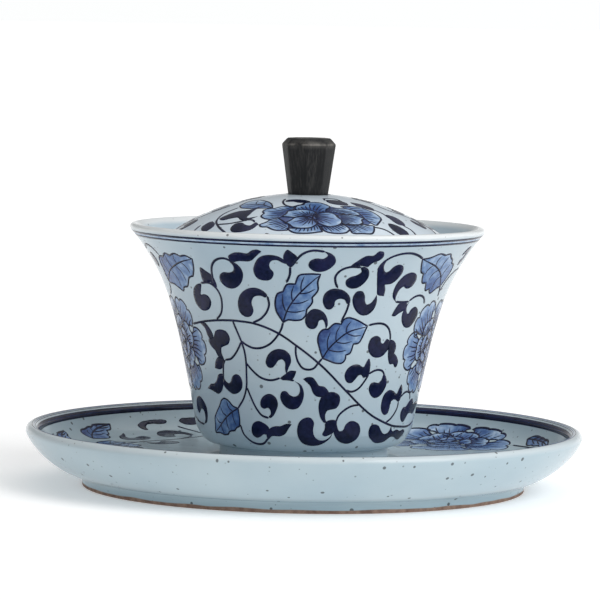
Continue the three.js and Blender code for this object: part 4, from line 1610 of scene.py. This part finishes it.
def eight_sided(name, levels):
    points = []
    for r, z in levels:
        for k in range(8):
            angle = math.radians(45 * k + KNOB_TURN - 90)
            points.append((r * MM * math.cos(angle), r * MM * math.sin(angle), z * MM))
    faces = [tuple(range(7, -1, -1))]
    last = 8 * (len(levels) - 1)
    for i in range(0, last, 8):
        for k in range(8):
            j = (k + 1) % 8
            faces.append((i + k, i + j, i + 8 + j, i + 8 + k))
    faces.append(tuple(range(last, last + 8)))
    return new_object(name, points, faces, False)


def soften(piece):
    """Rounds the peg's edges and keeps the result."""
    bevel = piece.modifiers.new("bevel", "BEVEL")
    bevel.width = KNOB_EDGE * MM
    bevel.segments = 3
    bevel.limit_method = "ANGLE"
    bevel.angle_limit = math.radians(20)
    graph = bpy.context.evaluated_depsgraph_get()
    mesh = bpy.data.meshes.new_from_object(piece.evaluated_get(graph))
    piece.modifiers.clear()
    piece.data = mesh
    mesh.polygons.foreach_set("use_smooth", [True] * len(mesh.polygons))


def mark_wear_and_highlight(piece, top):
    """Marks the peg's edges for the wood: 1 where the sides meet the chamfer and 0.5 along the
    top's edge, paler there as wear and as a painted highlight.
    """
    wear_and_highlight = piece.data.attributes.new("wear_and_highlight", "FLOAT", "POINT")
    values = []
    for vertex in piece.data.vertices:
        z = vertex.co.z / MM
        near_chamfer = abs(z - (top - KNOB_CHAMFER))
        near_top = abs(z - top)
        values.append(max(0, 1 - near_chamfer / 0.45) + max(0, 0.5 - near_top / 0.5))
    wear_and_highlight.data.foreach_set("value", values)


camera()
floor()
lights()
blue = wash("cobalt_wash")
dark = dark_cobalt("cobalt_line")
saucer_glaze = glaze("saucer_glaze", GLAZE_GREY, rim=0.0167, creamy=0.35, foot_top=0.0045,
                     foot_darkening=0.6, bare_height=0.001)
porcelain("saucer", saucer_profile(), "saucer_porcelain", saucer_glaze)
bowl_glaze = glaze("bowl_glaze", GLAZE, rim=0.0728, creamy=0.8, foot_top=0.012,
                   foot_darkening=0.15, bare_height=0.0082)
porcelain("bowl", bowl_profile(), "bowl_porcelain", bowl_glaze)
lid_glaze = glaze("lid_glaze", GLAZE_PALE, rim=0.09, creamy=0.0, foot_top=0.01,
                  foot_darkening=0.0, bare_height=0.0)
porcelain("lid", lid_profile(), "lid_porcelain", lid_glaze)
painted("bowl", paint_bowl(Wall()), blue, dark)
painted("lid", paint_lid(), blue, dark)
painted("saucer", paint_saucer(Dish()), blue, dark)
knob()
insert()
screw()
washers()
